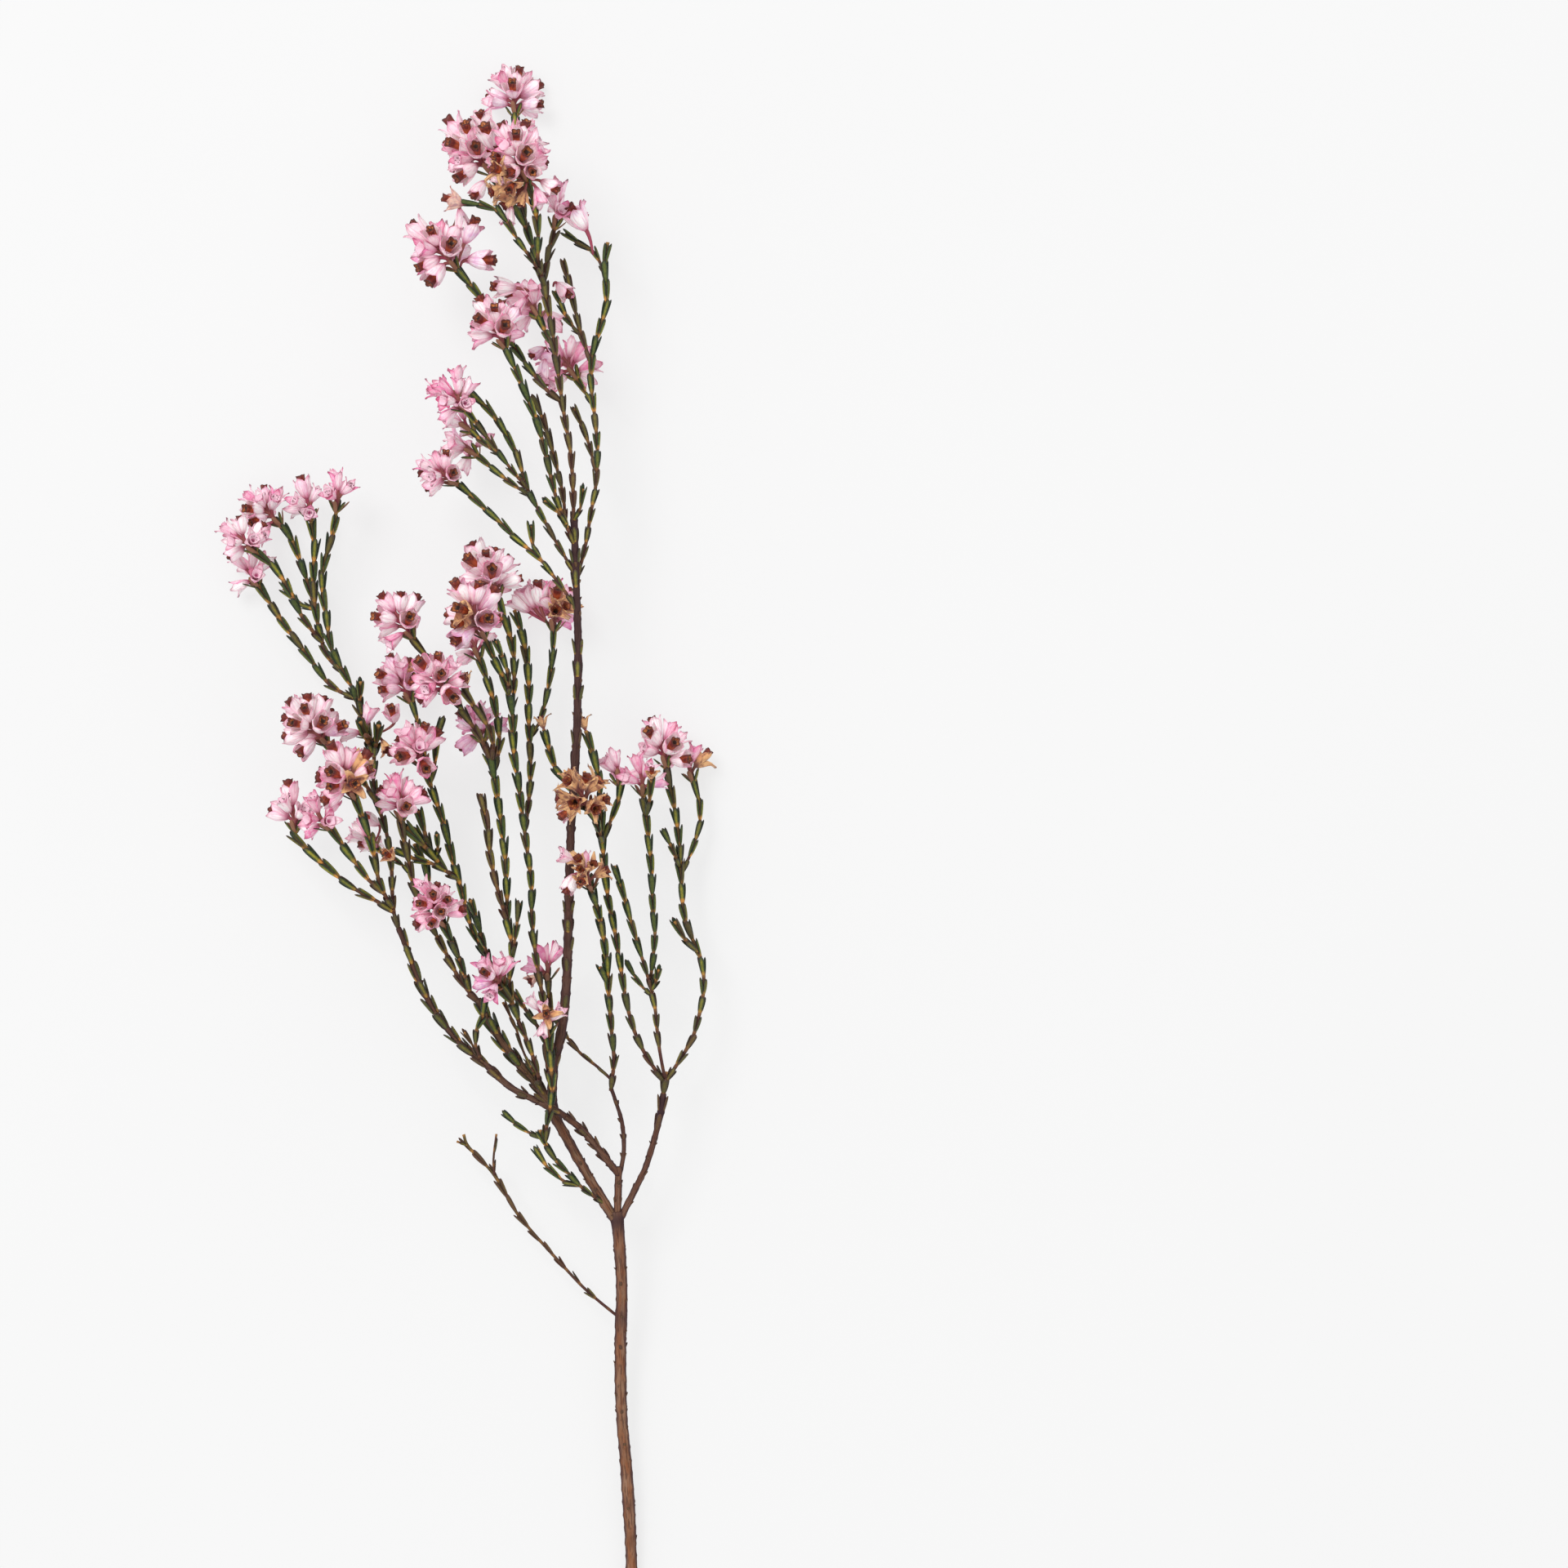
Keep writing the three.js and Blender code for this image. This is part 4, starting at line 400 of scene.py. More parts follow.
STRAYS = (
    Stray("b", (-33.4, 344, 21), (-33.2, 347, 24), (-35.2, 352.4, 27.5)),
    Stray("b", (-33.6, 346, 20), (-34.4, 351.6, 19), (-36.6, 356.4, 21)),
    Stray("b", (-32, 344, 19), (-30.4, 349, 18), (-32, 353.8, 19.5), box=False),
    Stray("b", (-34.4, 341, 21), (-35.4, 339.4, 22), (-38, 335.8, 23)),
    Stray("c", (-25.4, 343, 28), (-26, 348.6, 25), (-25, 353.4, 27)),
    Stray("c", (-24.4, 340.6, 33.5), (-24, 341.4, 35.4), (-23, 340, 39.6)),
    Stray("c", (-27, 341, 32), (-29.6, 341, 33), (-32.4, 344.6, 36)),
    Stray("d", (-9, 321.6, 20), (-10.6, 327.6, 21), (-14.4, 332.8, 23)),
    Stray("e", (-39.6, 333, 34), (-40, 332.8, 34), (-44.6, 334.2, 35), dry=0.38, splay=0.25),
    Stray("c", (-26, 339, 34), (-29, 339.6, 38), (-33.2, 341.4, 41), box=False, dry=0.9, splay=0.4),
    Stray("c", (-26.6, 338, 34), (-29.6, 336.6, 36), (-34.4, 335, 37), box=False, dry=0.9, splay=0.2),
    Stray("c", (-26, 337, 32), (-28.6, 332.4, 33), (-29.4, 327.8, 33.5), box=False),
    Stray("c", (-25.6, 338.6, 34), (-27.8, 337.6, 36), (-28.8, 335.6, 40), dry=0.9, splay=0.35),
    Stray("e", (-41.2, 318.4, 24), (-39.4, 320, 25), (-33.6, 319.8, 26.5)),
    Stray("e", (-41.6, 319.6, 24.5), (-40.2, 324, 25.5), (-37.6, 329.2, 27)),
    Stray("e", (-41.6, 333.2, 24), (-41.4, 332.4, 24.2), (-40.2, 326.6, 25), box=False),
    Stray("f", (-24, 312.8, 17), (-27.8, 313.6, 18.5), (-33.4, 313.8, 20)),
    Stray("f", (-24.4, 312.4, 17), (-25.6, 311.2, 18), (-28.2, 308, 19), box=False),
    Stray("f", (-18.8, 314, 17), (-17.8, 314.8, 18), (-14.8, 311.6, 20)),
    Stray("h", (-19.8, 297.6, 15), (-21, 296.4, 16), (-21.6, 291.2, 17), box=False),
    Stray("h", (-20.2, 298, 14), (-21.2, 299.2, 14), (-24.4, 297.2, 14.5)),
    Stray("r_left", (-61.6, 204.4, 17.5), (-57.6, 207.2, 19), (-58.2, 210.4, 22.5)),
    Stray("r_left", (-62, 203.4, 17.5), (-60.8, 202.8, 18), (-59.2, 199.4, 20), box=False, dry=0.9),
    Stray("m", (-20.4, 231.6, 9.5), (-25, 234.4, 10), (-29.8, 237.8, 10.5), box=False),
    Stray("m", (-20.4, 231.6, 9.5), (-23.8, 235.4, 10.5), (-26.6, 240.8, 11.5), box=False),
    Stray("m", (-20.4, 231.6, 9.5), (-22.2, 235.8, 11), (-22.8, 241.4, 12.5)),
    Stray("c", (-25, 337.6, 32), (-27.6, 336.4, 32), (-33.4, 336, 33), box=False, dry=0.95),
    Stray("c", (-25, 337.6, 32), (-27.2, 334.8, 33), (-31.2, 331.6, 33.5), box=False, dry=1.0),
    Stray("c", (-24.8, 338, 33), (-25, 336.4, 34), (-26.2, 331.6, 34), box=False, dry=0.85),
    Stray("c", (-24.4, 338, 33), (-22.4, 336.8, 34), (-20.8, 332, 35), box=False),
    Stray("c", (-24, 338.4, 33), (-21.2, 338.4, 34), (-17.2, 336, 34.5)),
    Stray("x", (-10.4, 170.6, 32), (-12.6, 173.4, 33), (-17, 175, 34), box=False),
    Stray("x", (-10.8, 168.6, 31), (-13.2, 170, 31), (-15.2, 165.8, 31.5)),
    Stray("w", (-11.4, 186, 35), (-12.8, 185.6, 35.5), (-16.6, 184.2, 36.5), dry=0.15),
    Stray("aa3", (-19.4, 133, 30), (-19.8, 135.6, 33), (-19.8, 136.4, 37.4), dry=1.0, splay=0.75),
    Stray("aa3", (-19.8, 131.8, 30), (-20.4, 134.2, 31), (-21.2, 130.4, 32), box=False),
    Stray("aa3", (-19.8, 132.8, 29), (-22, 137, 28), (-24.6, 140.2, 29), box=False),
    Stray("aa2", (-21, 145.6, 20), (-21.6, 145.4, 21.5), (-25, 143.4, 22.5), box=False, dry=0.4),
    Stray("u_back", (-63, 177.4, 12), (-62.4, 176.6, 13), (-66.4, 177.2, 14)),
    Stray("u_back", (-62.8, 178, 12), (-61.8, 182, 13), (-65.2, 184, 14)),
)

# Twigs whose end carries one withered flower.
RELICS = ("tall", "leaf_twig", "mid_tip", "n_dark", "thin_tip")


@dataclass(frozen=True)
class Cladding:
    """A stretch of an axis that wears whorls of leaves, and how."""

    start: float = 0.0
    end: float = 0.985
    scale: float = 1.0
    lift: Pair = (0.0, 0.0)
    step: float = 4.9
    cover: Pair = (0.74, 1.07)
    missing: float = 0.0
    dry: float = 0.0


class Part(Enum):
    """The finishes that a mesh can wear, in the order of its material slots."""

    BARK = 0
    TWIG = 1
    LEAF = 2
    SEPAL = 3
    TUBE = 4
    STALK = 5


Finishes = dict[Part, Material]


def chance(seed: float, index: float) -> float:
    """Return a number between 0 and 1 that is always the same for the same pair."""
    wave = math.sin(seed * 12.9898 + index * 78.233) * 43758.5453
    return wave - math.floor(wave)


def unit(vector: Array) -> Array:
    """Return the vector at length 1."""
    return vector / np.linalg.norm(vector)


def spin(vector: Array, axis: Array, angle: float) -> Array:
    """Return the vector turned about a unit axis that it is square to."""
    return vector * math.cos(angle) + np.cross(axis, vector) * math.sin(angle)


def above(points: Array, floor: float) -> Array:
    """Return the points, with those under a height lifted to it."""
    return np.column_stack((points[:, :2], np.maximum(points[:, 2], floor)))


def linear(value: int) -> float:
    """Return one channel of a screen colour, from 0 to 255, as a linear one."""
    share = value / 255
    return share / 12.92 if share <= 0.04045 else ((share + 0.055) / 1.055) ** 2.4


def srgb(red: int, green: int, blue: int) -> Colour:
    """Return a screen colour, its channels from 0 to 255, as a linear one."""
    return linear(red), linear(green), linear(blue)


class Axis:
    """The smooth centre line of a branch through the points of its route."""

    STEPS = 200
    COARSE_STEPS = 80
    NEAR = 1e-4

    def __init__(self, route: Route, parent: "Axis | None") -> None:
        """Lay the curve.

        Args:
            route: points of x, y and, at some, the height z.
            parent: the axis of the branch that it grows from.
        """
        heights: list[float | None] = [p[2] if len(p) > 2 else None for p in route]
        flat = np.array([p[:2] for p in route], dtype=float)
        if heights[0] is None:
            heights[0] = parent.height_near(flat[0] - MIDDLE[:2])
        along = np.concatenate(([0.0], np.cumsum(np.linalg.norm(np.diff(flat, axis=0), axis=1))))
        for i, height in enumerate(heights):
            if height is None:
                after = next(j for j in range(i + 1, len(heights)) if heights[j] is not None)
                share = (along[i] - along[i - 1]) / (along[after] - along[i - 1])
                heights[i] = heights[i - 1] + (heights[after] - heights[i - 1]) * share
        self.points = np.column_stack((flat, np.array(heights, dtype=float))) - MIDDLE
        samples = np.array([self.bend(i / self.STEPS) for i in range(self.STEPS + 1)])
        steps = np.linalg.norm(np.diff(samples, axis=0), axis=1)
        self.lengths = np.concatenate(([0.0], np.cumsum(steps)))
        self.length = float(self.lengths[-1])

    def bend(self, share: float) -> Array:
        """Return the point at a share of the curve's own count, a centripetal spline.

        Args:
            share: from 0 at the first point of the route to 1 at the last.

        Returns:
            The point.
        """
        points = self.points
        last = len(points) - 1
        span = min(int(share * last), last - 1)
        weight = share * last - span
        p1, p2 = points[span], points[span + 1]
        p0 = points[span - 1] if span > 0 else 2 * points[0] - points[1]
        p3 = points[span + 2] if span + 2 <= last else 2 * points[last] - points[last - 1]
        d0, d1, d2 = (math.sqrt(np.linalg.norm(b - a)) for a, b in ((p0, p1), (p1, p2), (p2, p3)))
        t1 = ((p1 - p0) / d0 - (p2 - p0) / (d0 + d1) + (p2 - p1) / d1) * d1
        t2 = ((p2 - p1) / d1 - (p3 - p1) / (d1 + d2) + (p3 - p2) / d2) * d1
        square = -3 * p1 + 3 * p2 - 2 * t1 - t2
        cube = 2 * p1 - 2 * p2 + t1 + t2
        return p1 + t1 * weight + square * weight**2 + cube * weight**3

    def share_at(self, at: float) -> float:
        """Return the curve's own count at a share of its length."""
        return float(np.interp(at * self.length, self.lengths, np.arange(self.STEPS + 1))) / self.STEPS

    def point(self, at: float) -> Array:
        """Return the point at a share of the length."""
        return self.bend(self.share_at(min(max(at, 0.0), 1.0)))

    def forward(self, at: float) -> Array:
        """Return the direction at a share of the length."""
        share = self.share_at(min(max(at, 0.0), 1.0))
        return unit(self.bend(min(share + self.NEAR, 1.0)) - self.bend(max(share - self.NEAR, 0.0)))

    def height_near(self, place: Array) -> float:
        """Return the height of the axis where it comes nearest to a place on the table."""
        spaced = [self.point(i / self.COARSE_STEPS) for i in range(self.COARSE_STEPS + 1)]
        return float(min(spaced, key=lambda point: np.linalg.norm(point[:2] - place))[2])

    def frames(self, places: Array) -> tuple[Array, Array, Array]:
        """Return the centres and the side and up directions at places along it.

        Args:
            places: shares of the length.

        Returns:
            Three arrays of vectors.
        """
        centres = np.array([self.point(at) for at in places])
        forward = np.array([self.forward(at) for at in places])
        side = np.cross(UP, forward)
        side /= np.linalg.norm(side, axis=1)[:, None]
        return centres, side, np.cross(forward, side)

    def tube_points(self, places: Array, around: Array, angles: Array) -> Array:
        """Return the points of rings round the axis.

        Args:
            places: the share of the length of each ring.
            around: the radius at each point of each ring.
            angles: the angle of each point in a ring.

        Returns:
            The points, ring after ring.
        """
        centres, side, up = self.frames(places)
        rings = (
            centres[:, None, :]
            + side[:, None, :] * (around * np.sin(angles))[:, :, None]
            + up[:, None, :] * (around * np.cos(angles))[:, :, None]
        )
        return rings.reshape(-1, 3)


class Skeleton:
    """Every axis of the plant by name, and the room that branches and flowers take up."""

    BALL_STEP = 1.4
    HEAD_ROOM = 2.4
    TWIG_ROOM = 0.92

    def __init__(self) -> None:
        """Lay the axes from the stem outwards."""
        self.axes: dict[str, Axis] = {}
        self.taken: Balls = []
        carriers = {head.twig for head in HEADS}
        for limb in LIMBS:
            self.axes[limb.name] = Axis(limb.route, self.axes.get(limb.grows_from))
        for limb in LIMBS:
            self.take(self.axes[limb.name], limb.radii[0], 0.0)
        for twigs in SPRAYS.values():
            for twig in twigs:
                self.axes[twig.name] = Axis(twig.route, self.axes[twig.grows_from])
                bare = self.HEAD_ROOM if twig.name in carriers else 0.0
                self.take(self.axes[twig.name], LEAF_RADIUS * twig.scale * self.TWIG_ROOM, bare)

    def take(self, axis: Axis, radius: float, end: float) -> None:
        """Note the room along an axis.

        Args:
            axis: the axis.
            radius: how far its room reaches.
            end: the length at its end that is left free.
        """
        steps = math.ceil(axis.length / self.BALL_STEP)
        for i in range(steps + 1):
            if axis.length * (1 - i / steps) >= end:
                self.taken.append((axis.point(i / steps), radius))

    def is_clear(self, balls: Balls, ease: float) -> bool:
        """Return whether balls keep clear of all the room taken so far.

        Args:
            balls: the centres and radii.
            ease: the share of the radii that has to be clear.

        Returns:
            Whether nothing is in their way.
        """
        centres = np.array([centre for centre, _ in self.taken])
        radii = np.array([radius for _, radius in self.taken])
        for centre, radius in balls:
            away = np.linalg.norm(centres - centre, axis=1)
            if np.any(away <= (radius + radii) * ease + GAP):
                return False
        return True


def put(name: str, data: object) -> Object:
    """Put a new object in the scene.

    Args:
        name: its name.
        data: the mesh, camera or lamp that it holds.

    Returns:
        The object.
    """
    made = bpy.data.objects.new(name, data)
    bpy.context.scene.collection.objects.link(made)
    return made


class MeshStock:
    """Gathers points, faces, finishes and the values that the materials read."""

    FIELDS = ("along", "edge", "tint", "dry")

    def __init__(self) -> None:
        """Start empty."""
        self.points: list[Array] = []
        self.faces: Faces = []
        self.parts: list[int] = []
        self.values: dict[str, list[Array]] = {name: [] for name in self.FIELDS}
        self.grain: list[Array] = []
        self.count = 0

    def add(
        self, points: Array, faces: Faces, part: Part, grain: Array | None = None, **values: Array | float
    ) -> None:
        """Add a closed form.

        Args:
            points: its corners.
            faces: corners of each face, counted from 0.
            part: the finish that it wears.
            grain: where each point lies in the form's own grain, or its place if left out.
            **values: along, edge, tint and dry, for each point or for all.
        """
        size = len(points)
        self.points.append(points)
        self.faces.extend(tuple(i + self.count for i in face) for face in faces)
        self.parts.extend([part.value] * len(faces))
        self.grain.append(points if grain is None else grain)
        for name in self.FIELDS:
            self.values[name].append(np.broadcast_to(np.asarray(values.get(name, 0.0), float), (size,)))
        self.count += size

    def piece(self, name: str, finishes: Finishes) -> Object:
        """Make the object.

        Args:
            name: the object's name.
            finishes: the material of each finish.

        Returns:
            The object, at the origin, in metres.
        """
        mesh = bpy.data.meshes.new(name)
        points = np.concatenate(self.points) * MM
        mesh.from_pydata(points.tolist(), [], self.faces)
        used = sorted(set(self.parts))
        for value in used:
            mesh.materials.append(finishes[Part(value)])
        mesh.polygons.foreach_set("material_index", [used.index(value) for value in self.parts])
        mesh.polygons.foreach_set("use_smooth", [True] * len(self.faces))
        for label, chunks in self.values.items():
            layer = mesh.attributes.new(label, "FLOAT", "POINT")
            layer.data.foreach_set("value", np.concatenate(chunks))
        layer = mesh.attributes.new("grain", "FLOAT_VECTOR", "POINT")
        layer.data.foreach_set("vector", (np.concatenate(self.grain) * MM).ravel())
        mesh.update()
        return put(name, mesh)


def tube_faces(rings: int, sides: int) -> Faces:
    """Return the faces of a closed tube of rings, with a flat face at each end.

    Args:
        rings: how many rings.
        sides: how many points in a ring.

    Returns:
        The faces, turned outwards for rings that run anticlockwise as seen from the far end.
    """
    faces: Faces = []
    for r in range(rings - 1):
        for i in range(sides):
            a, b = r * sides + i, r * sides + (i + 1) % sides
            faces.append((a, b, b + sides, a + sides))
    faces.append(tuple(reversed(range(sides))))
    faces.append(tuple(range((rings - 1) * sides, rings * sides)))
    return faces


class Recipe:
    """Adds nodes to one tree and links them."""

    def __init__(self, tree: NodeTree) -> None:
        """Take the tree."""
        self.tree = tree

    def feed(self, socket: Socket, value: object) -> None:
        """Link a socket to another one, or set its value.

        Args:
            socket: the input.
            value: a socket to link from or a value to set.
        """
        if isinstance(value, Socket):
            self.tree.links.new(value, socket)
        else:
            socket.default_value = value

    def node(self, kind: str, settings: dict | None = None, **inputs: object) -> Node:
        """Add a node.

        Args:
            kind: the node's type without the words ShaderNode.
            settings: the node's own properties.
            **inputs: a socket to link from or a value to set, by the socket's name with
                underscores, or by its number as in i0.

        Returns:
            The node.
        """
        made = self.tree.nodes.new("ShaderNode" + kind)
        for key, value in (settings or {}).items():
            setattr(made, key, value)
        for key, value in inputs.items():
            self.feed(made.inputs[int(key[1:]) if key[1:].isdigit() else key.replace("_", " ")], value)
        return made

    def reading(self, name: str) -> Socket:
        """Return the value that the mesh holds under a name."""
        return self.node("Attribute", {"attribute_name": name}).outputs["Fac"]

    def grain(self) -> Socket:
        """Return where the point lies in its form's own grain."""
        return self.node("Attribute", {"attribute_name": "grain"}).outputs["Vector"]

    def maths(self, operation: str, first: object, second: object) -> Socket:
        """Return the result of a sum on two values."""
        return self.node("Math", {"operation": operation}, i0=first, i1=second).outputs[0]

    def times(self, first: object, second: object) -> Socket:
        """Return the product of two values."""
        return self.maths("MULTIPLY", first, second)

    def some(self, least: float, share: float, value: object) -> Socket:
        """Return the least amount and a share of a value on top of it."""
        return self.maths("ADD", least, self.times(value, share))

    def step(self, value: object, low: object, high: object) -> Socket:
        """Return 0 below low and 1 above high, with a smooth rise between."""
        rise = {"interpolation_type": "SMOOTHSTEP"}
        return self.node("MapRange", rise, Value=value, From_Min=low, From_Max=high).outputs["Result"]

    def blend(self, share: object, first: object, second: object) -> Socket:
        """Return a colour between two colours.

        Args:
            share: how much of the second.
            first: a colour or a socket.
            second: a colour or a socket.

        Returns:
            The mixed colour.
        """
        mix = self.tree.nodes.new("ShaderNodeMix")
        mix.data_type = "RGBA"
        for number, value in ((0, share), (6, first), (7, second)):
            self.feed(mix.inputs[number], (*value, 1.0) if isinstance(value, tuple) else value)
        return mix.outputs[2]

    def mask(self, tree: NodeTree, **inputs: object) -> Socket:
        """Place a node group.

        Args:
            tree: the group.
            **inputs: its own values here, by the name of each input.

        Returns:
            The mask that it gives.
        """
        made = self.tree.nodes.new("ShaderNodeGroup")
        made.node_tree = tree
        for key, value in inputs.items():
            self.feed(made.inputs[key], value)
        return made.outputs["Mask"]


class Effects:
    """The node groups that several finishes share."""

    def __init__(self) -> None:
        """Build each group once."""
        self.mottle = self.make_mottle()
        self.fibre = self.make_fibre()

    @staticmethod
    def start(name: str, vector: str, **values: float) -> tuple[Recipe, dict[str, Socket], Socket]:
        """Start a group that turns a vector and some values into a mask.

        Args:
            name: the group's name.
            vector: the name of the vector.
            **values: the name and the first value of each of the others.

        Returns:
            The recipe of its tree, the socket of each input and the socket that takes the mask.
        """
        tree = bpy.data.node_groups.new(name, "ShaderNodeTree")
        tree.interface.new_socket(name=vector, in_out="INPUT", socket_type="NodeSocketVector")
        for label, value in values.items():
            socket = tree.interface.new_socket(name=label, in_out="INPUT", socket_type="NodeSocketFloat")
            socket.default_value = value
        tree.interface.new_socket(name="Mask", in_out="OUTPUT", socket_type="NodeSocketFloat")
        given = tree.nodes.new("NodeGroupInput").outputs
        wanted = tree.nodes.new("NodeGroupOutput").inputs
        return Recipe(tree), {label: given[label] for label in (vector, *values)}, wanted["Mask"]

    def make_mottle(self) -> NodeTree:
        """Build soft irregular blotches.

        Returns:
            The group: Place, Scale, Low and High in, Mask out.
        """
        make, given, mask = self.start("blotches", "Place", Scale=900.0, Low=0.4, High=0.6)
        noise = make.node("TexNoise", None, Vector=given["Place"], Scale=given["Scale"], Detail=3.0)
        make.feed(mask, make.step(noise.outputs["Fac"], given["Low"], given["High"]))
        return make.tree

    def make_fibre(self) -> NodeTree:
        """Build fine streaks that run along a form.

        Returns:
            The group: Grain, Scale and Stretch in, Mask out.
        """
        make, given, mask = self.start("streaks", "Grain", Scale=2400.0, Stretch=0.12)
        parts = make.node("SeparateXYZ", None, Vector=given["Grain"])
        length = make.times(parts.outputs["Z"], given["Stretch"])
        place = make.node("CombineXYZ", None, X=parts.outputs["X"], Y=parts.outputs["Y"], Z=length)
        noise = make.node("TexNoise", None, Vector=place.outputs[0], Scale=given["Scale"], Detail=4.0)
        make.feed(mask, make.step(noise.outputs["Fac"], 0.32, 0.68))
        return make.tree


def new_material(name: str) -> tuple[Material, Recipe, Node]:
    """Start a material with one Principled shader.

    Args:
        name: the material's name.

    Returns:
        The material, a recipe for its tree and its shader node.
    """
    material = bpy.data.materials.new(name)
    material.use_nodes = True
    make = Recipe(material.node_tree)
    make.tree.nodes.clear()
    shader = make.node("BsdfPrincipled")
    make.node("OutputMaterial", None, Surface=shader.outputs[0])
    return material, make, shader


@dataclass(frozen=True)
class Surface:
    """How rough and how shiny a finish is, and how high its bumps stand in millimetres."""

    rough: float
    bump: float
    shine: float = 0.5

    def join(self, make: Recipe, shader: Node, colour: Socket, height: Socket) -> None:
        """Link a colour and a bumped normal to the shader and set the rest.

        Args:
            make: the tree's recipe.
            shader: its Principled node.
            colour: the socket of the colour.
            height: the socket of the bump's height.
        """
        make.feed(shader.inputs["Base Color"], colour)
        make.feed(shader.inputs["Roughness"], self.rough)
        make.feed(shader.inputs["Specular IOR Level"], self.shine)
        raised = make.node("Bump", None, Height=height, Distance=self.bump * MM, Strength=1.0)
        make.feed(shader.inputs["Normal"], raised.outputs[0])


@dataclass(frozen=True)
class BarkFinish:
    """Reddish brown bark, greyer on its ridges, darker at the scars, mossy in patches, with painted shade at
    its sides.
    """

    effects: Effects
    warm: Colour = srgb(142, 88, 58)
    grey: Colour = srgb(154, 116, 92)
    dark: Colour = srgb(48, 28, 28)
    # side: the colour of the painted shade on the sides that turn away from the view.
    side: Colour = srgb(62, 40, 46)
    green: Colour = srgb(100, 92, 50)
    old: Colour = srgb(62, 42, 44)
    surface: Surface = Surface(rough=0.82, bump=0.12, shine=0.2)

    def material(self) -> Material:
        """Make the bark's material.

        Returns:
            The material.
        """
        material, make, shader = new_material("heath_bark")
        grain = make.grain()
        fine = make.mask(self.effects.fibre, Grain=grain, Scale=3200.0, Stretch=0.1)
        broad = make.mask(self.effects.fibre, Grain=grain, Scale=1100.0, Stretch=0.16)
        patch = make.mask(self.effects.mottle, Place=grain, Scale=260.0, Low=0.45, High=0.7)
        colour = make.blend(broad, self.warm, self.grey)
        moss = make.times(make.reading("tint"), make.some(0.4, 0.6, patch))
        colour = make.blend(moss, colour, self.green)
        colour = make.blend(make.times(make.reading("dry"), 0.72), colour, self.old)
        crack = make.step(fine, 0.45, 0.05)
        scar = make.step(make.reading("edge"), 0.25, 0.8)
        place = make.node("TexCoord").outputs["Object"]
        blotch = make.mask(self.effects.mottle, Place=place, Scale=75.0, Low=0.55, High=0.7)
        shade = make.maths("MAXIMUM", make.times(crack, 0.6), make.times(scar, 0.4))
        shade = make.maths("MAXIMUM", shade, make.times(blotch, 0.5))
        colour = make.blend(shade, colour, self.dark)
        # Painted shade: the sides that turn away from the view are darkened towards the side colour.
        facing = make.node("LayerWeight", None, Blend=0.5).outputs["Facing"]
        colour = make.blend(make.times(make.step(facing, 0.1, 0.55), 0.8), colour, self.side)
        self.surface.join(make, shader, colour, make.maths("ADD", make.times(fine, 0.5), broad))
        return material


@dataclass(frozen=True)
class TwigFinish:
    """The thin green to plum brown axis between the leaves, tan at its joints."""

    effects: Effects
    green: Colour = srgb(104, 92, 50)
    brown: Colour = srgb(84, 48, 44)
    groove: Colour = srgb(60, 44, 34)
    tan: Colour = srgb(206, 146, 78)
    surface: Surface = Surface(rough=0.7, bump=0.06, shine=0.25)

    def material(self) -> Material:
        """Make the twig's material.

        Returns:
            The material.
        """
        material, make, shader = new_material("heath_twig")
        fine = make.mask(self.effects.fibre, Grain=make.grain(), Scale=3600.0, Stretch=0.1)
        colour = make.blend(make.reading("dry"), self.green, self.brown)
        colour = make.blend(make.times(fine, 0.45), colour, self.groove)
        colour = make.blend(make.reading("edge"), colour, self.tan)
        self.surface.join(make, shader, colour, fine)
        return material


@dataclass(frozen=True)
class LeafFinish:
    """Dull dark green leaf, yellow keel as painted highlight, blue-black edges as painted shade, tan foot."""

    effects: Effects
    # keel is the yellow of a painted highlight; edge is the blue-black of painted shade, also used for spots
    # and tips.
    keel: Colour = srgb(154, 148, 46)
    blade: Colour = srgb(62, 78, 30)
    edge: Colour = srgb(22, 32, 40)
    foot: Colour = srgb(212, 146, 70)
    brown: Colour = srgb(92, 54, 44)
    surface: Surface = Surface(rough=0.42, bump=0.05, shine=0.3)

    def material(self) -> Material:
        """Make the leaf's material.

        Returns:
            The material.
        """
        material, make, shader = new_material("heath_leaf")
        along, edge, tint, dry = (make.reading(name) for name in MeshStock.FIELDS)
        grain = make.grain()
        spots = make.mask(self.effects.mottle, Place=grain, Scale=1500.0, Low=0.38, High=0.66)
        fine = make.mask(self.effects.fibre, Grain=grain, Scale=5200.0, Stretch=0.15)
        # Painted highlight: a yellow strip along the keel, stronger on some leaves.
        middle = make.times(make.step(edge, 0.62, 0.12), make.some(0.05, 0.9, tint))
        colour = make.blend(make.maths("MINIMUM", middle, 0.9), self.blade, self.keel)
        # The blue-black edge colour goes into mottled spots, then as painted shade along the rims, then
        # darker towards the tip.
        colour = make.blend(make.times(spots, 0.35), colour, self.edge)
        colour = make.blend(make.times(make.step(edge, 0.7, 1.0), 0.9), colour, self.edge)
        colour = make.blend(make.times(make.step(along, 0.7, 1.0), 0.75), colour, self.edge)
        colour = make.blend(make.step(along, 0.93, 1.0), colour, self.brown)
        colour = make.blend(make.times(dry, 0.8), colour, self.brown)
        bright = make.times(make.step(tint, 0.2, 1.0), make.maths("SUBTRACT", 1.0, dry))
        colour = make.blend(make.times(make.step(along, 0.3, 0.08), bright), colour, self.foot)
        self.surface.join(make, shader, colour, fine)
        make.feed(shader.inputs["Roughness"], make.some(self.surface.rough, 0.2, spots))
        return material


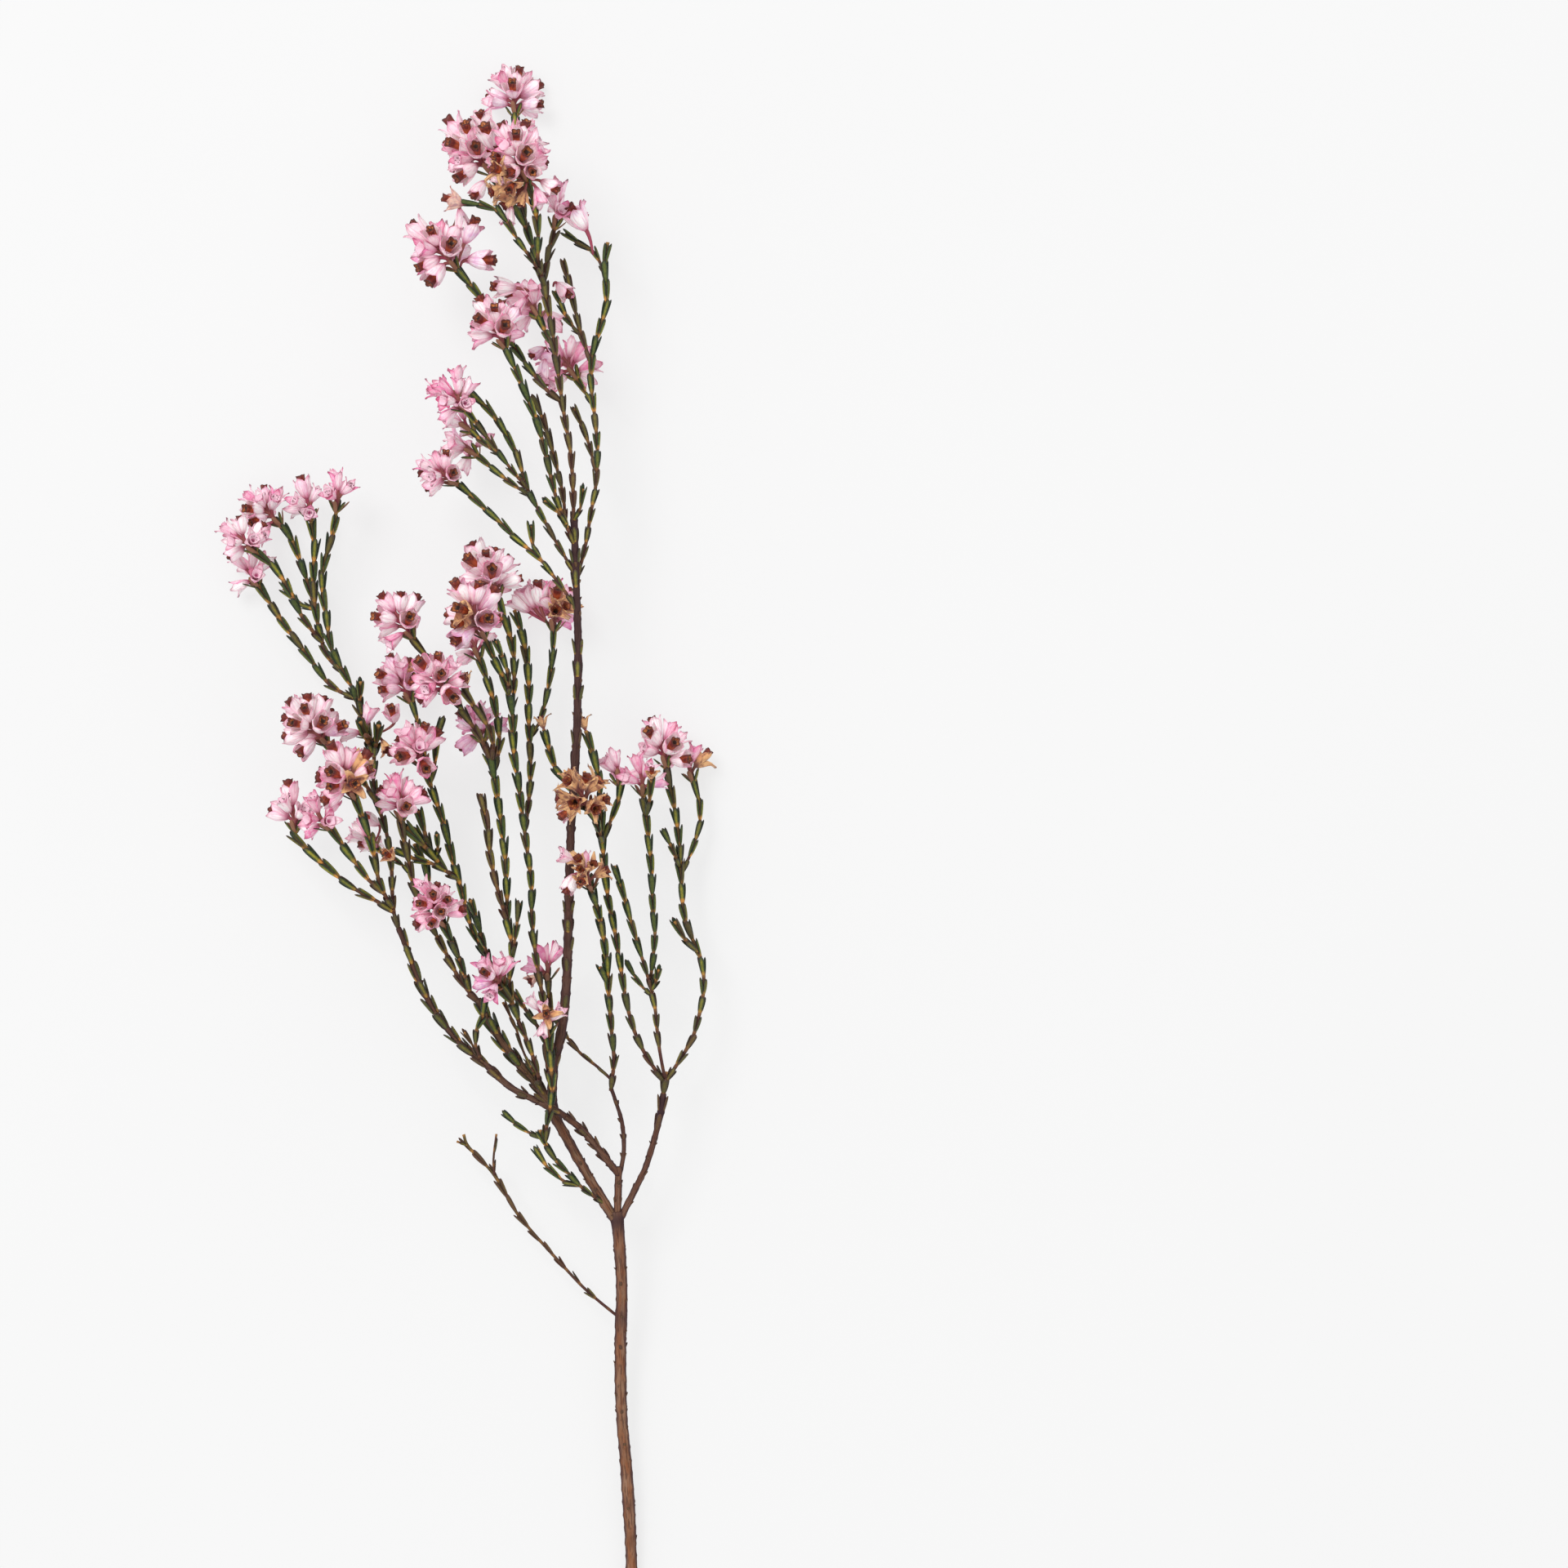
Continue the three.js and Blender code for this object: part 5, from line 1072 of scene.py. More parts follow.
@dataclass(frozen=True)
class SepalFinish:
    """A papery sepal: whitish at its foot, pink at its edges, deeper at its point, with a faint painted glow.
    """

    effects: Effects
    pale: Colour = srgb(255, 249, 249)
    pink: Colour = srgb(240, 128, 176)
    # glow: the colour of a faint painted glow that stands in for light through the sepal.
    glow: Colour = srgb(255, 200, 206)
    deep: Colour = srgb(188, 44, 106)
    vein: Colour = srgb(190, 84, 140)
    violet: Colour = srgb(206, 132, 198)
    straw: Colour = srgb(226, 174, 116)
    brown: Colour = srgb(122, 72, 46)
    light_through: float = 0.25
    light_depth: float = 0.7
    light_spread: tuple[float, float, float] = (1.0, 0.5, 0.6)
    painted_glow_strength: float = 0.06
    surface: Surface = Surface(rough=0.6, bump=0.08, shine=0.3)

    def material(self) -> Material:
        """Make the sepal's material.

        Returns:
            The material.
        """
        material, make, shader = new_material("heath_sepal")
        along, edge, tint, dry = (make.reading(name) for name in MeshStock.FIELDS)
        grain = make.grain()
        streak = make.mask(self.effects.fibre, Grain=grain, Scale=2600.0, Stretch=0.1)
        spots = make.mask(self.effects.mottle, Place=grain, Scale=700.0, Low=0.42, High=0.68)
        place = make.node("TexCoord").outputs["Object"]
        broad = make.mask(self.effects.mottle, Place=place, Scale=45.0, Low=0.52, High=0.66)
        rim = make.times(make.step(edge, 0.6, 1.0), 0.35)
        flush = make.maths("ADD", rim, make.times(tint, 0.7))
        flush = make.maths("ADD", flush, make.times(spots, make.times(tint, 0.5)))
        colour = make.blend(make.maths("MINIMUM", flush, 1.0), self.pale, self.pink)
        colour = make.blend(make.times(broad, make.some(0.2, 0.4, spots)), colour, self.violet)
        colour = make.blend(make.times(make.step(streak, 0.55, 0.9), 0.32), colour, self.vein)
        tip = make.times(make.step(along, 0.76, 1.0), make.some(0.45, 0.5, tint))
        colour = make.blend(make.maths("MINIMUM", tip, 0.95), colour, self.deep)
        colour = make.blend(make.times(make.step(along, 0.4, 0.0), 0.8), colour, self.deep)
        stain = make.maths("MAXIMUM", spots, make.step(along, 0.38, 0.12))
        old = make.blend(stain, self.straw, self.brown)
        colour = make.blend(make.step(dry, 0.1, 0.6), colour, old)
        make.feed(shader.inputs["Subsurface Weight"], self.light_through)
        make.feed(shader.inputs["Subsurface Radius"], self.light_spread)
        make.feed(shader.inputs["Subsurface Scale"], self.light_depth * MM)
        # Painted light: a faint pink glow stands in for light that shines through the thin sepals into the
        # cups.
        make.feed(shader.inputs["Emission Color"], (*self.glow, 1.0))
        make.feed(shader.inputs["Emission Strength"], self.painted_glow_strength)
        self.surface.join(make, shader, colour, streak)
        return material


@dataclass(frozen=True)
class TubeFinish:
    """The withered tube of a flower: tawny low down, maroon brown above, painted shade nearly black inside.
    """

    effects: Effects
    tawny: Colour = srgb(204, 100, 58)
    gold: Colour = srgb(222, 138, 72)
    maroon: Colour = srgb(114, 38, 32)
    rim: Colour = srgb(56, 20, 22)
    brown: Colour = srgb(118, 58, 42)
    # hollow: the near black of painted shade deep in the inside of the tube.
    hollow: Colour = srgb(48, 24, 20)
    fresh: Colour = srgb(244, 190, 210)
    mouth: Colour = srgb(252, 230, 238)
    throat: Colour = srgb(214, 110, 156)
    surface: Surface = Surface(rough=0.45, bump=0.08, shine=0.35)

    def material(self) -> Material:
        """Make the tube's material.

        Returns:
            The material.
        """
        material, make, shader = new_material("heath_tube")
        along, edge, tint, dry = (make.reading(name) for name in MeshStock.FIELDS)
        grain = make.grain()
        spots = make.mask(self.effects.mottle, Place=grain, Scale=1700.0, Low=0.47, High=0.58)
        streak = make.mask(self.effects.fibre, Grain=grain, Scale=2400.0, Stretch=0.12)
        colour = make.blend(make.step(along, 0.5, 0.72), self.tawny, self.maroon)
        colour = make.blend(make.times(spots, make.times(tint, 0.45)), colour, self.tawny)
        colour = make.blend(make.times(streak, 0.4), colour, self.rim)
        colour = make.blend(make.times(make.step(along, 0.86, 1.0), 0.75), colour, self.rim)
        # Painted shade: the inside goes from brown near the rim to nearly black deep in the hollow.
        inside = make.blend(make.step(along, 0.3, 0.7), self.hollow, self.brown)
        golden = make.times(spots, make.some(0.2, 0.6, tint))
        inside = make.blend(make.times(golden, make.step(along, 0.2, 0.6)), inside, self.gold)
        colour = make.blend(edge, colour, inside)
        young = make.blend(make.times(streak, 0.4), self.fresh, self.throat)
        young = make.blend(edge, young, make.blend(make.step(along, 0.55, 0.15), self.mouth, self.throat))
        self.surface.join(make, shader, make.blend(dry, young, colour), streak)
        return material


@dataclass(frozen=True)
class StalkFinish:
    """The plum red stalks and small bracts in the middle of a head."""

    effects: Effects
    plum: Colour = srgb(156, 56, 84)
    green: Colour = srgb(140, 122, 66)
    brown: Colour = srgb(112, 66, 52)
    surface: Surface = Surface(rough=0.62, bump=0.06)

    def material(self) -> Material:
        """Make the stalks' material.

        Returns:
            The material.
        """
        material, make, shader = new_material("heath_stalk")
        grain = make.grain()
        spots = make.mask(self.effects.mottle, Place=grain, Scale=900.0, Low=0.4, High=0.66)
        fine = make.mask(self.effects.fibre, Grain=grain, Scale=3200.0, Stretch=0.12)
        colour = make.blend(make.reading("tint"), self.plum, self.green)
        colour = make.blend(make.times(spots, 0.35), colour, self.brown)
        colour = make.blend(make.reading("dry"), colour, self.brown)
        self.surface.join(make, shader, colour, fine)
        return material


def sides_of(forward: Array) -> tuple[Array, Array]:
    """Return the side and the up direction of what points forward."""
    side = unit(np.cross(UP, forward))
    return side, np.cross(forward, side)


def turned_side(forward: Array, share: float) -> Array:
    """Return a direction square to forward, turned about it by a share of half a turn."""
    return spin(unit(np.cross(SLANT, forward)), forward, share * math.pi)


def whorl_gap(step: float, scale: float) -> float:
    """Return the gap from whorl to whorl, which is smaller on a thinner twig."""
    return step * (0.55 + 0.45 * scale)


def rod_grain(lengths: Array, angles: Array, radius: float, shift: float) -> Array:
    """Return the grain of a rod, which runs along it however the rod bends.

    Args:
        lengths: how far along the rod each ring stands.
        angles: the angle of each point in a ring.
        radius: the radius of the grain.
        shift: what sets it apart from the grain of other rods.

    Returns:
        The place of each point in the grain, ring after ring.
    """
    across = np.tile(radius * np.sin(angles) + shift, len(lengths))
    upward = np.tile(radius * np.cos(angles), len(lengths))
    return np.column_stack((across, upward, np.repeat(lengths, len(angles))))


@dataclass
class WoodyStem:
    """The forked wood, with whorls of leaf scars and a few small leaves left on the trunk."""

    skeleton: Skeleton
    finishes: Finishes
    leaves: "LeafySpray"
    sides: int = 20
    step: float = 0.8
    scar_step: float = 3.4
    scar_rise: float = 0.3
    scar_at: float = 0.72
    scar_half: float = 0.17
    notch_at: float = 0.8
    notch_half: float = 0.13
    ridge: float = 0.05
    full_radius: float = 1.2
    grain_radius: float = 1.4
    grain_apart: float = 5.0
    knuckle_half: float = 3.0
    knuckle_shade: float = 3.0
    end_shade: float = 0.35
    stub_depth: float = 0.32
    knuckles: tuple[tuple[str, float, float], ...] = (
        ("stem", 28.5, 0.1),
        ("stem", 41.0, 0.04),
        ("stem", 75.8, 0.2),
        ("stem", 101.0, 0.3),
        ("left_limb", 34.0, 0.25),
        ("right_limb", 31.0, 0.18),
    )
    clad: tuple[tuple[str, Cladding], ...] = (
        ("trunk", Cladding(0.04, 0.4, scale=0.9, lift=(0.62, 0.5), step=5.2, cover=(0.75, 0.75),
            missing=0.38, dry=0.5)),
        ("trunk", Cladding(0.5, 0.99, scale=0.95, lift=(0.4, 0.25), step=5.6, cover=(0.7, 0.8),
            missing=0.35, dry=0.35)),
        ("second_limb", Cladding(0.1, 0.98, scale=1.1, lift=(0.72, 0.58), step=4.6, cover=(0.8, 0.95),
            missing=0.1, dry=0.12)),
        ("long_branch", Cladding(0.05, 0.42, scale=0.9, lift=(0.58, 0.5), step=4.4, cover=(0.62, 0.62),
            missing=0.3, dry=0.75)),
        ("long_branch", Cladding(0.46, 0.99, lift=(0.42, 0.3), step=4.7, cover=(0.8, 0.98),
            missing=0.15, dry=0.3)),
        ("right_limb", Cladding(0.72, 0.99, scale=0.9, lift=(0.35, 0.3), step=4.4, cover=(0.8, 0.8),
            missing=0.2, dry=0.85)),
    )
    stubs: Cladding = Cladding(0.03, 0.97, scale=0.6, step=5.0, cover=(0.3, 0.26), missing=0.4, dry=1.0)

    def limb(self, stock: MeshStock, axis: Axis, limb: Limb, seed: int) -> None:
        """Add a limb.

        Args:
            stock: where it goes.
            axis: its centre line.
            limb: its sizes.
            seed: the number of its draws.
        """
        count = max(6, round(axis.length / self.step)) + 1
        places = np.linspace(0, 1, count)
        angles = 2 * math.pi * np.arange(self.sides) / self.sides
        lengths = places * axis.length
        wavy = 1 + 0.035 * np.sin(lengths * 0.21 + seed) + 0.02 * np.sin(lengths * 0.53 + 2 * seed)
        radius = (limb.radii[0] + (limb.radii[1] - limb.radii[0]) * places) * wavy
        knuckle = np.zeros(count)
        for name, at, rise in self.knuckles:
            if name == limb.name:
                knuckle += rise * np.exp(-(((lengths - at) / self.knuckle_half) ** 2))
        radius = radius + knuckle
        # Leaf scars stand in whorls of three, each whorl turned by half a gap from the last.
        whorl = np.floor(lengths / self.scar_step)
        into = lengths / self.scar_step - whorl
        turned = angles[None, :] - (whorl * math.pi / 3)[:, None]
        lobe = np.cos(1.5 * np.mod(turned + math.pi / 3, 2 * math.pi / 3) - math.pi / 2) ** 6
        swell = np.exp(-(((into - self.scar_at) / self.scar_half) ** 2))[:, None] * lobe
        notch = np.exp(-(((into - self.notch_at) / self.notch_half) ** 2))[:, None] * lobe
        ribs = np.sin(3 * turned + lengths[:, None] * 0.05) * self.ridge * 0.6
        ribs += np.sin(7 * angles[None, :] + np.sin(lengths * 0.3)[:, None]) * self.ridge * 0.4
        taper = np.minimum(1.0, radius / self.full_radius)[:, None]
        around = radius[:, None] + (swell * self.scar_rise + ribs) * taper
        shade = limb.shade + self.end_shade * places + self.knuckle_shade * knuckle
        points = above(axis.tube_points(places, around, angles), 0.0)
        grain = rod_grain(lengths, angles, self.grain_radius, seed * self.grain_apart)
        values = {"edge": notch.ravel(), "tint": limb.moss, "dry": np.repeat(shade, self.sides)}
        stock.add(points, tube_faces(count, self.sides), Part.BARK, grain, **values)

    def build(self) -> Object:
        """Make the wood.

        Returns:
            The piece.
        """
        stock = MeshStock()
        axes = self.skeleton.axes
        for seed, limb in enumerate(LIMBS, start=1):
            self.limb(stock, axes[limb.name], limb, seed)
        for seed, limb in enumerate(LIMBS, start=60):
            sunk = (limb.radii[0] - self.stub_depth, limb.radii[1] - self.stub_depth)
            self.leaves.clothe(stock, axes[limb.name], replace(self.stubs, lift=sunk), seed)
        for seed, (name, cladding) in enumerate(self.clad, start=40):
            self.leaves.clothe(stock, axes[name], cladding, seed)
        return stock.piece("wood", self.finishes)


@dataclass
class LeafySpray:
    """Twigs clad in whorls of three keeled leaves, each whorl in the gaps of the last."""

    skeleton: Skeleton
    finishes: Finishes
    leaf_length: float = 5.3
    twig_radius: float = 0.46
    twig_sides: int = 8
    twig_step: float = 0.8
    grain_radius: float = 0.5
    grain_apart: float = 2.0
    joint_half: float = 0.09
    joint_rise: float = 0.1
    share: Row = (0.0, 0.07, 0.18, 0.36, 0.56, 0.76, 0.91, 1.0)
    half_width: Row = (0.32, 0.4, 0.52, 0.62, 0.68, 0.68, 0.54, 0.14)
    keel: Row = (0.1, 0.2, 0.31, 0.41, 0.45, 0.42, 0.31, 0.1)
    inner: Row = (0.1, 0.12, 0.14, 0.14, 0.13, 0.11, 0.07, 0.03)
    stand: Row = (0.3, 0.36, 0.44, 0.53, 0.63, 0.74, 0.86, 0.96)
    brown_twigs: tuple[str, ...] = ("k_twig", "n_dark", "c_dark", "side_wood", "fork", "middle",
        "inner", "pair_right", "low_tip", "across")
    brown_dry: float = 0.5
    old_twigs: tuple[str, ...] = ("low", "low_stub", "c_purple", "c_spike")
    old_dry: float = 0.85
    old_missing: float = 0.35
    bare: Cladding = Cladding(0.04, step=6.6, cover=(0.6, 0.7), missing=0.45, dry=0.5)

    def leaf_form(self) -> tuple[Array, Array, Array, Faces]:
        """Shape one leaf.

        Returns:
            Rows of how far ahead, out and across its points are, their along and edge values,
            and its faces.
        """
        ahead, out, across, along, edge = [], [], [], [], []
        rows = zip(self.share, self.half_width, self.keel, self.inner, self.stand, strict=True)
        for share, half, keel, inner, stand in rows:
            for sideways, outwards, rim in (
                (-half, 0.0, 1.0),
                (-0.62 * half, 0.72 * keel, 0.55),
                (0.0, keel, 0.0),
                (0.62 * half, 0.72 * keel, 0.55),
                (half, 0.0, 1.0),
                (0.5 * half, -inner, 0.7),
                (-0.5 * half, -inner, 0.7),
            ):
                ahead.append(share * self.leaf_length)
                out.append(stand + outwards)
                across.append(sideways)
                along.append(share)
                edge.append(rim)
        faces = tube_faces(len(self.share), len(ahead) // len(self.share))
        return np.array([ahead, out, across]), np.array(along), np.array(edge), faces

    def clothe(self, stock: MeshStock, axis: Axis, worn: Cladding, seed: float) -> None:
        """Set whorls of leaves on a stretch of an axis.

        Args:
            stock: where they go.
            axis: the centre line.
            worn: where they stand and how large and dry they are.
            seed: the number of the draws.
        """
        form, along, edge, faces = self.leaf_form()
        length = (worn.end - worn.start) * axis.length
        whorls = max(1, round(length / whorl_gap(worn.step, worn.scale)))
        for k in range(whorls):
            at = worn.start + (worn.end - worn.start) * (k + 0.06) / whorls
            forward = axis.forward(min(1.0, at + 1.5 / axis.length))
            centre = axis.point(at)
            side, up = sides_of(forward)
            # The first whorls of a twig are its oldest: short, narrow and brown.
            rank = min(1.0, (k + 0.5) / whorls * min(1.6, 9 / whorls + 0.8))
            aged = max(0.0, 0.6 - 1.2 * rank)
            cover = worn.cover[0] + (worn.cover[1] - worn.cover[0]) * rank
            cover += 0.16 * (chance(seed, k + 70) - 0.5)
            stretch = length / whorls / self.leaf_length * 1.08 * cover
            lift = worn.lift[0] + (worn.lift[1] - worn.lift[0]) * k / whorls
            for i in range(3):
                draw = seed * 7 + k * 3 + i
                if chance(draw, 8) < worn.missing:
                    continue
                angle = k * math.pi / 3 + i * 2 * math.pi / 3 + 0.3 * (chance(draw, 1) - 0.5)
                out = side * math.sin(angle) + up * math.cos(angle)
                across = np.cross(forward, out)
                grown = worn.scale * (0.76 + 0.16 * rank + 0.22 * chance(draw, 2))
                flare = 0.62 * (chance(draw, 3) - 0.35)
                rise = (form[1] * (0.82 + 0.16 * rank) + flare * along**3) * worn.scale + lift
                points = (
                    centre
                    + np.outer(form[0] * stretch * (0.94 + 0.12 * chance(draw, 4)), forward)
                    + np.outer(rise, out)
                    + np.outer(form[2] * grown + 0.5 * (chance(draw, 5) - 0.5) * along**2, across)
                )
                grain = np.stack((form[2] + draw * 3.1, form[1], form[0]), axis=1)
                dry = min(1.0, worn.dry + aged + max(0.0, chance(draw, 6) - 0.82) * 3)
                values = {"along": along, "edge": edge, "tint": chance(draw, 7), "dry": dry}
                stock.add(above(points, LEAF_FLOOR), faces, Part.LEAF, grain, **values)

    def axis_tube(self, stock: MeshStock, axis: Axis, twig: Twig, seed: int) -> None:
        """Add the thin axis of a twig, a little swollen and tan at each joint.

        Args:
            stock: where it goes.
            axis: its centre line.
            twig: its sizes.
            seed: the number of its draws.
        """
        count = max(4, round(axis.length / self.twig_step)) + 1
        places = np.linspace(0, 1, count)
        angles = 2 * math.pi * np.arange(self.twig_sides) / self.twig_sides
        lengths = places * axis.length
        leafy = (1 - twig.leaf_from) * axis.length
        step = whorl_gap(Cladding.step, twig.scale)
        step = leafy / max(1, round(leafy / step)) if leafy > 0.5 else step
        into = np.mod((lengths - twig.leaf_from * axis.length) / step + 0.5, 1.0) - 0.5
        joint = np.exp(-((into / self.joint_half) ** 2))
        radius = self.twig_radius * twig.scale * (1 + self.joint_rise * joint)
        brown = np.clip(1.1 - 0.9 * places, 0.15, 1.0)
        if twig.name in self.brown_twigs or twig.leaf_from > 0.3:
            brown = np.maximum(brown, 0.85)
        points = axis.tube_points(places, radius[:, None], angles)
        grain = rod_grain(lengths, angles, self.grain_radius, seed * self.grain_apart)
        tan = np.repeat(joint * (0.12 + 0.5 * places), self.twig_sides)
        brown = np.repeat(brown, self.twig_sides)
        stock.add(points, tube_faces(count, self.twig_sides), Part.TWIG, grain, edge=tan, dry=brown)

    def build(self, name: str, seed: int, blooms: "FlowerHead") -> Object:
        """Make one spray.

        Args:
            name: the spray that it stands for.
            seed: the number of its draws.
            blooms: the maker of flowers, for the withered ones at the ends of some twigs.

        Returns:
            The piece.
        """
        stock = MeshStock()
        for number, twig in enumerate(SPRAYS[name]):
            axis = self.skeleton.axes[twig.name]
            draw = seed * 31 + number
            self.axis_tube(stock, axis, twig, draw)
            if twig.leaf_from > 0.15:
                few = replace(self.bare, end=twig.leaf_from, scale=twig.scale * 0.9)
                self.clothe(stock, axis, few, draw + 0.5)
            if twig.leaf_from < 1:
                worn = Cladding(twig.leaf_from, scale=twig.scale)
                if twig.name in self.brown_twigs:
                    worn = replace(worn, dry=self.brown_dry)
                elif twig.name in self.old_twigs:
                    worn = replace(worn, dry=self.old_dry, missing=self.old_missing)
                self.clothe(stock, axis, worn, draw)
            if twig.name in RELICS:
                forward = axis.forward(1.0)
                root = axis.point(1.0) - forward * 0.6
                size = 0.62 + 0.2 * chance(draw, 80)
                relic = Flower(root, forward, sides_of(forward)[0], size, chance(draw, 81) < 0.6)
                blooms.flower(stock, relic, root - forward * 1.2, draw, 0.8)
        return stock.piece("leafy_" + name, self.finishes)


@dataclass(frozen=True)
class Flower:
    """Where one flower stands: its root, its direction, its side, its size and its state."""

    root: Array
    forward: Array
    side: Array
    size: float
    box: bool
    splay: float = 0.0
    flush: float = 0.0

    def belly(self) -> Array:
        """Return the middle of the cup."""
        return self.root + self.forward * (0.7 * FLOWER_LENGTH * self.size)

    def room(self) -> Balls:
        """Return the balls that hold its foot, its belly and its mouth."""
        return [
            (self.root + self.forward * (FLOWER_LENGTH * along * self.size), radius * self.size)
            for along, radius in ((0.32, 0.8), (0.62, 1.5), (0.98, 2.2))
        ]


@dataclass(frozen=True)
class SepalForm:
    """How far out a sepal stands, how wide it is and how much it wraps, from foot to point."""

    stand: Row
    half: Row
    wrap: Row


@dataclass
class FlowerHead:
    """A head: a core, flowers on short stalks all round it, and small bracts at its foot."""

    skeleton: Skeleton
    finishes: Finishes
    leaves: LeafySpray
    core_radius: float = 1.5
    tries: int = 4
    apart: float = 3.5
    fill_from: int = 4
    fill_share: float = 1.6
    fill_tries: int = 12
    fill_apart: float = 2.6
    fill_ease: float = 0.72
    fill_size: float = 0.88
    petal_cross: Row = (-1.0, -0.55, 0.0, 0.55, 1.0)
    petal_share: Row = (0.0, 0.1, 0.24, 0.42, 0.6, 0.76, 0.89, 1.0)
    petal_ahead: Row = (1.05, 1.4, 2.0, 2.95, 3.9, 4.75, 5.4, 5.85)
    petal_thick: float = 0.16
    cup: SepalForm = SepalForm(
        stand=(0.28, 0.6, 1.0, 1.4, 1.68, 1.82, 1.9, 2.0),
        half=(0.25, 0.52, 0.86, 1.2, 1.42, 1.32, 0.84, 0.1),
        wrap=(0.05, 0.16, 0.34, 0.54, 0.66, 0.56, 0.28, 0.0),
    )
    bell: SepalForm = SepalForm(
        stand=(0.26, 0.46, 0.74, 1.02, 1.26, 1.5, 1.78, 2.1),
        half=(0.22, 0.4, 0.64, 0.88, 1.06, 1.0, 0.64, 0.08),
        wrap=(0.04, 0.12, 0.25, 0.38, 0.45, 0.38, 0.2, 0.0),
    )
    # Each ring of a tube: how far ahead, its radius, how square, its along value, and how far inside.
    box_sides: int = 16
    box_rings: tuple[Row, ...] = (
        (1.3, 0.34, 0.0, 0.0, 0.0),
        (2.4, 0.58, 0.2, 0.15, 0.0),
        (3.9, 0.82, 0.5, 0.4, 0.0),
        (4.8, 0.94, 0.8, 0.6, 0.0),
        (5.7, 1.05, 1.0, 0.8, 0.0),
        (6.25, 1.18, 1.0, 1.0, 0.0),
        (6.27, 1.0, 1.0, 1.0, 0.1),
        (6.08, 0.84, 1.0, 0.9, 1.0),
        (5.8, 0.66, 0.8, 0.6, 1.0),
        (5.68, 0.26, 0.3, 0.1, 1.0),
    )
    young_sides: int = 12
    young_rings: tuple[Row, ...] = (
        (1.3, 0.4, 0.0, 0.0, 0.0),
        (3.4, 0.75, 0.2, 0.4, 0.0),
        (4.5, 1.0, 0.5, 0.8, 0.0),
        (5.05, 1.36, 1.0, 1.0, 0.0),
        (4.95, 1.15, 0.9, 0.9, 0.4),
        (4.2, 0.75, 0.4, 0.6, 0.9),
        (3.2, 0.42, 0.2, 0.3, 1.0),
        (3.0, 0.1, 0.0, 0.1, 1.0),
    )
    anther_count: int = 5
    anther_ahead: float = 4.7
    anther_out: float = 0.62
    anther_long: float = 0.26
    anther_wide: float = 0.15

    def place(self, head: Head, seed: int) -> tuple[Array, Array, list[Flower]]:
        """Set the flowers round the core, and then smaller ones in the gaps.

        Args:
            head: the head's sizes.
            seed: the number of its draws.

        Returns:
            The back and the tip of the core, and the flowers.
        """
        axis = self.skeleton.axes[head.twig]
        forward = axis.forward(1.0)
        side, up = sides_of(forward)
        radius = self.core_radius * head.size
        half = radius + head.reach / 2
        centre = axis.point(1.0) + forward * (half + GAP)
        lowest = math.cos(math.radians(head.spread))
        flowers: list[Flower] = []

        def gather(wanted: int, each: int, draw: float, size: float, apart: float, ease: float) -> None:
            """Add flowers that keep clear until there are enough or the tries run out.

            Args:
                wanted: how many the head is to have.
                each: how many tries there are for each flower of the head.
                draw: the number of the draws.
                size: the size of the flowers.
                apart: how far apart their bellies stay.
                ease: the share of the room that has to be clear.
            """
            tries = head.flowers * each
            for k in range(tries):
                if len(flowers) >= wanted:
                    return
                share = ((k * 3) % tries + 0.5 * chance(draw, k)) / tries
                height = 1 - (1 - lowest) * share
                sine = math.sqrt(1 - height * height)
                angle = k * GOLDEN_ANGLE + 0.5 * (chance(draw, k + 100) - 0.5)
                out = forward * height + side * (sine * math.cos(angle)) + up * (sine * math.sin(angle))
                flower = Flower(
                    centre + forward * (head.reach * (0.5 - share)) + out * (0.3 * radius),
                    out,
                    turned_side(out, chance(draw, k + 200)),
                    size * (0.94 + 0.16 * chance(draw, k + 300)),
                    chance(draw, k + 400) < head.boxes,
                    flush=head.flush,
                )
                away = [np.linalg.norm(other.belly() - flower.belly()) for other in flowers]
                if min(away, default=apart) >= apart and self.skeleton.is_clear(flower.room(), ease):
                    flowers.append(flower)

        gather(head.flowers, self.tries, seed, head.size, self.apart * head.size, 1.0)
        more = head.fill * max(0, head.flowers - self.fill_from) * self.fill_share
        wanted = len(flowers) + round(more)
        small = head.size * self.fill_size
        gather(wanted, self.fill_tries, seed + 500, small, self.fill_apart * head.size, self.fill_ease)
        for flower in flowers:
            self.skeleton.taken.extend(flower.room())
        back, tip = centre - forward * half, centre + forward * half
        self.skeleton.taken.extend((back + (tip - back) * share, radius) for share in (0.2, 0.5, 0.8))
        return back, tip, flowers

    def flower(self, stock: MeshStock, flower: Flower, start: Array, draw: float, dry: float) -> None:
        """Add a whole flower: its stalk, four sepals, its tube and what shows in its mouth.

        Args:
            stock: where it goes.
            flower: where it stands.
            start: where its stalk leaves the head.
            draw: the number of its draws.
            dry: how withered it is.
        """
        foot = flower.root + flower.forward * (1.5 * flower.size)
        lean = flower.root - flower.forward * (0.4 * flower.size)
        self.stalk(stock, (start, lean, foot), (0.26, 0.44 * flower.size), chance(draw, 22), dry * 0.8)
        for i in range(4):
            self.petal(stock, flower, i, draw * 5.1 + i, dry)
        self.tube(stock, flower, draw, dry)
        if not flower.box and dry == 0 and chance(draw, 23) < 0.5:
            self.anthers(stock, flower, draw)

    def petal(self, stock: MeshStock, flower: Flower, quarter: int, draw: float, dry: float) -> None:
        """Add one sepal of a flower, a thin boat with a pointed tip.

        Args:
            stock: where it goes.
            flower: the flower.
            quarter: which of the four it is.
            draw: the number of its draws.
            dry: how withered it is.
        """
        form = self.cup if flower.box else self.bell
        rows, columns = len(self.petal_share), len(self.petal_cross)
        along = np.repeat(self.petal_share, columns)
        cross = np.tile(self.petal_cross, rows)
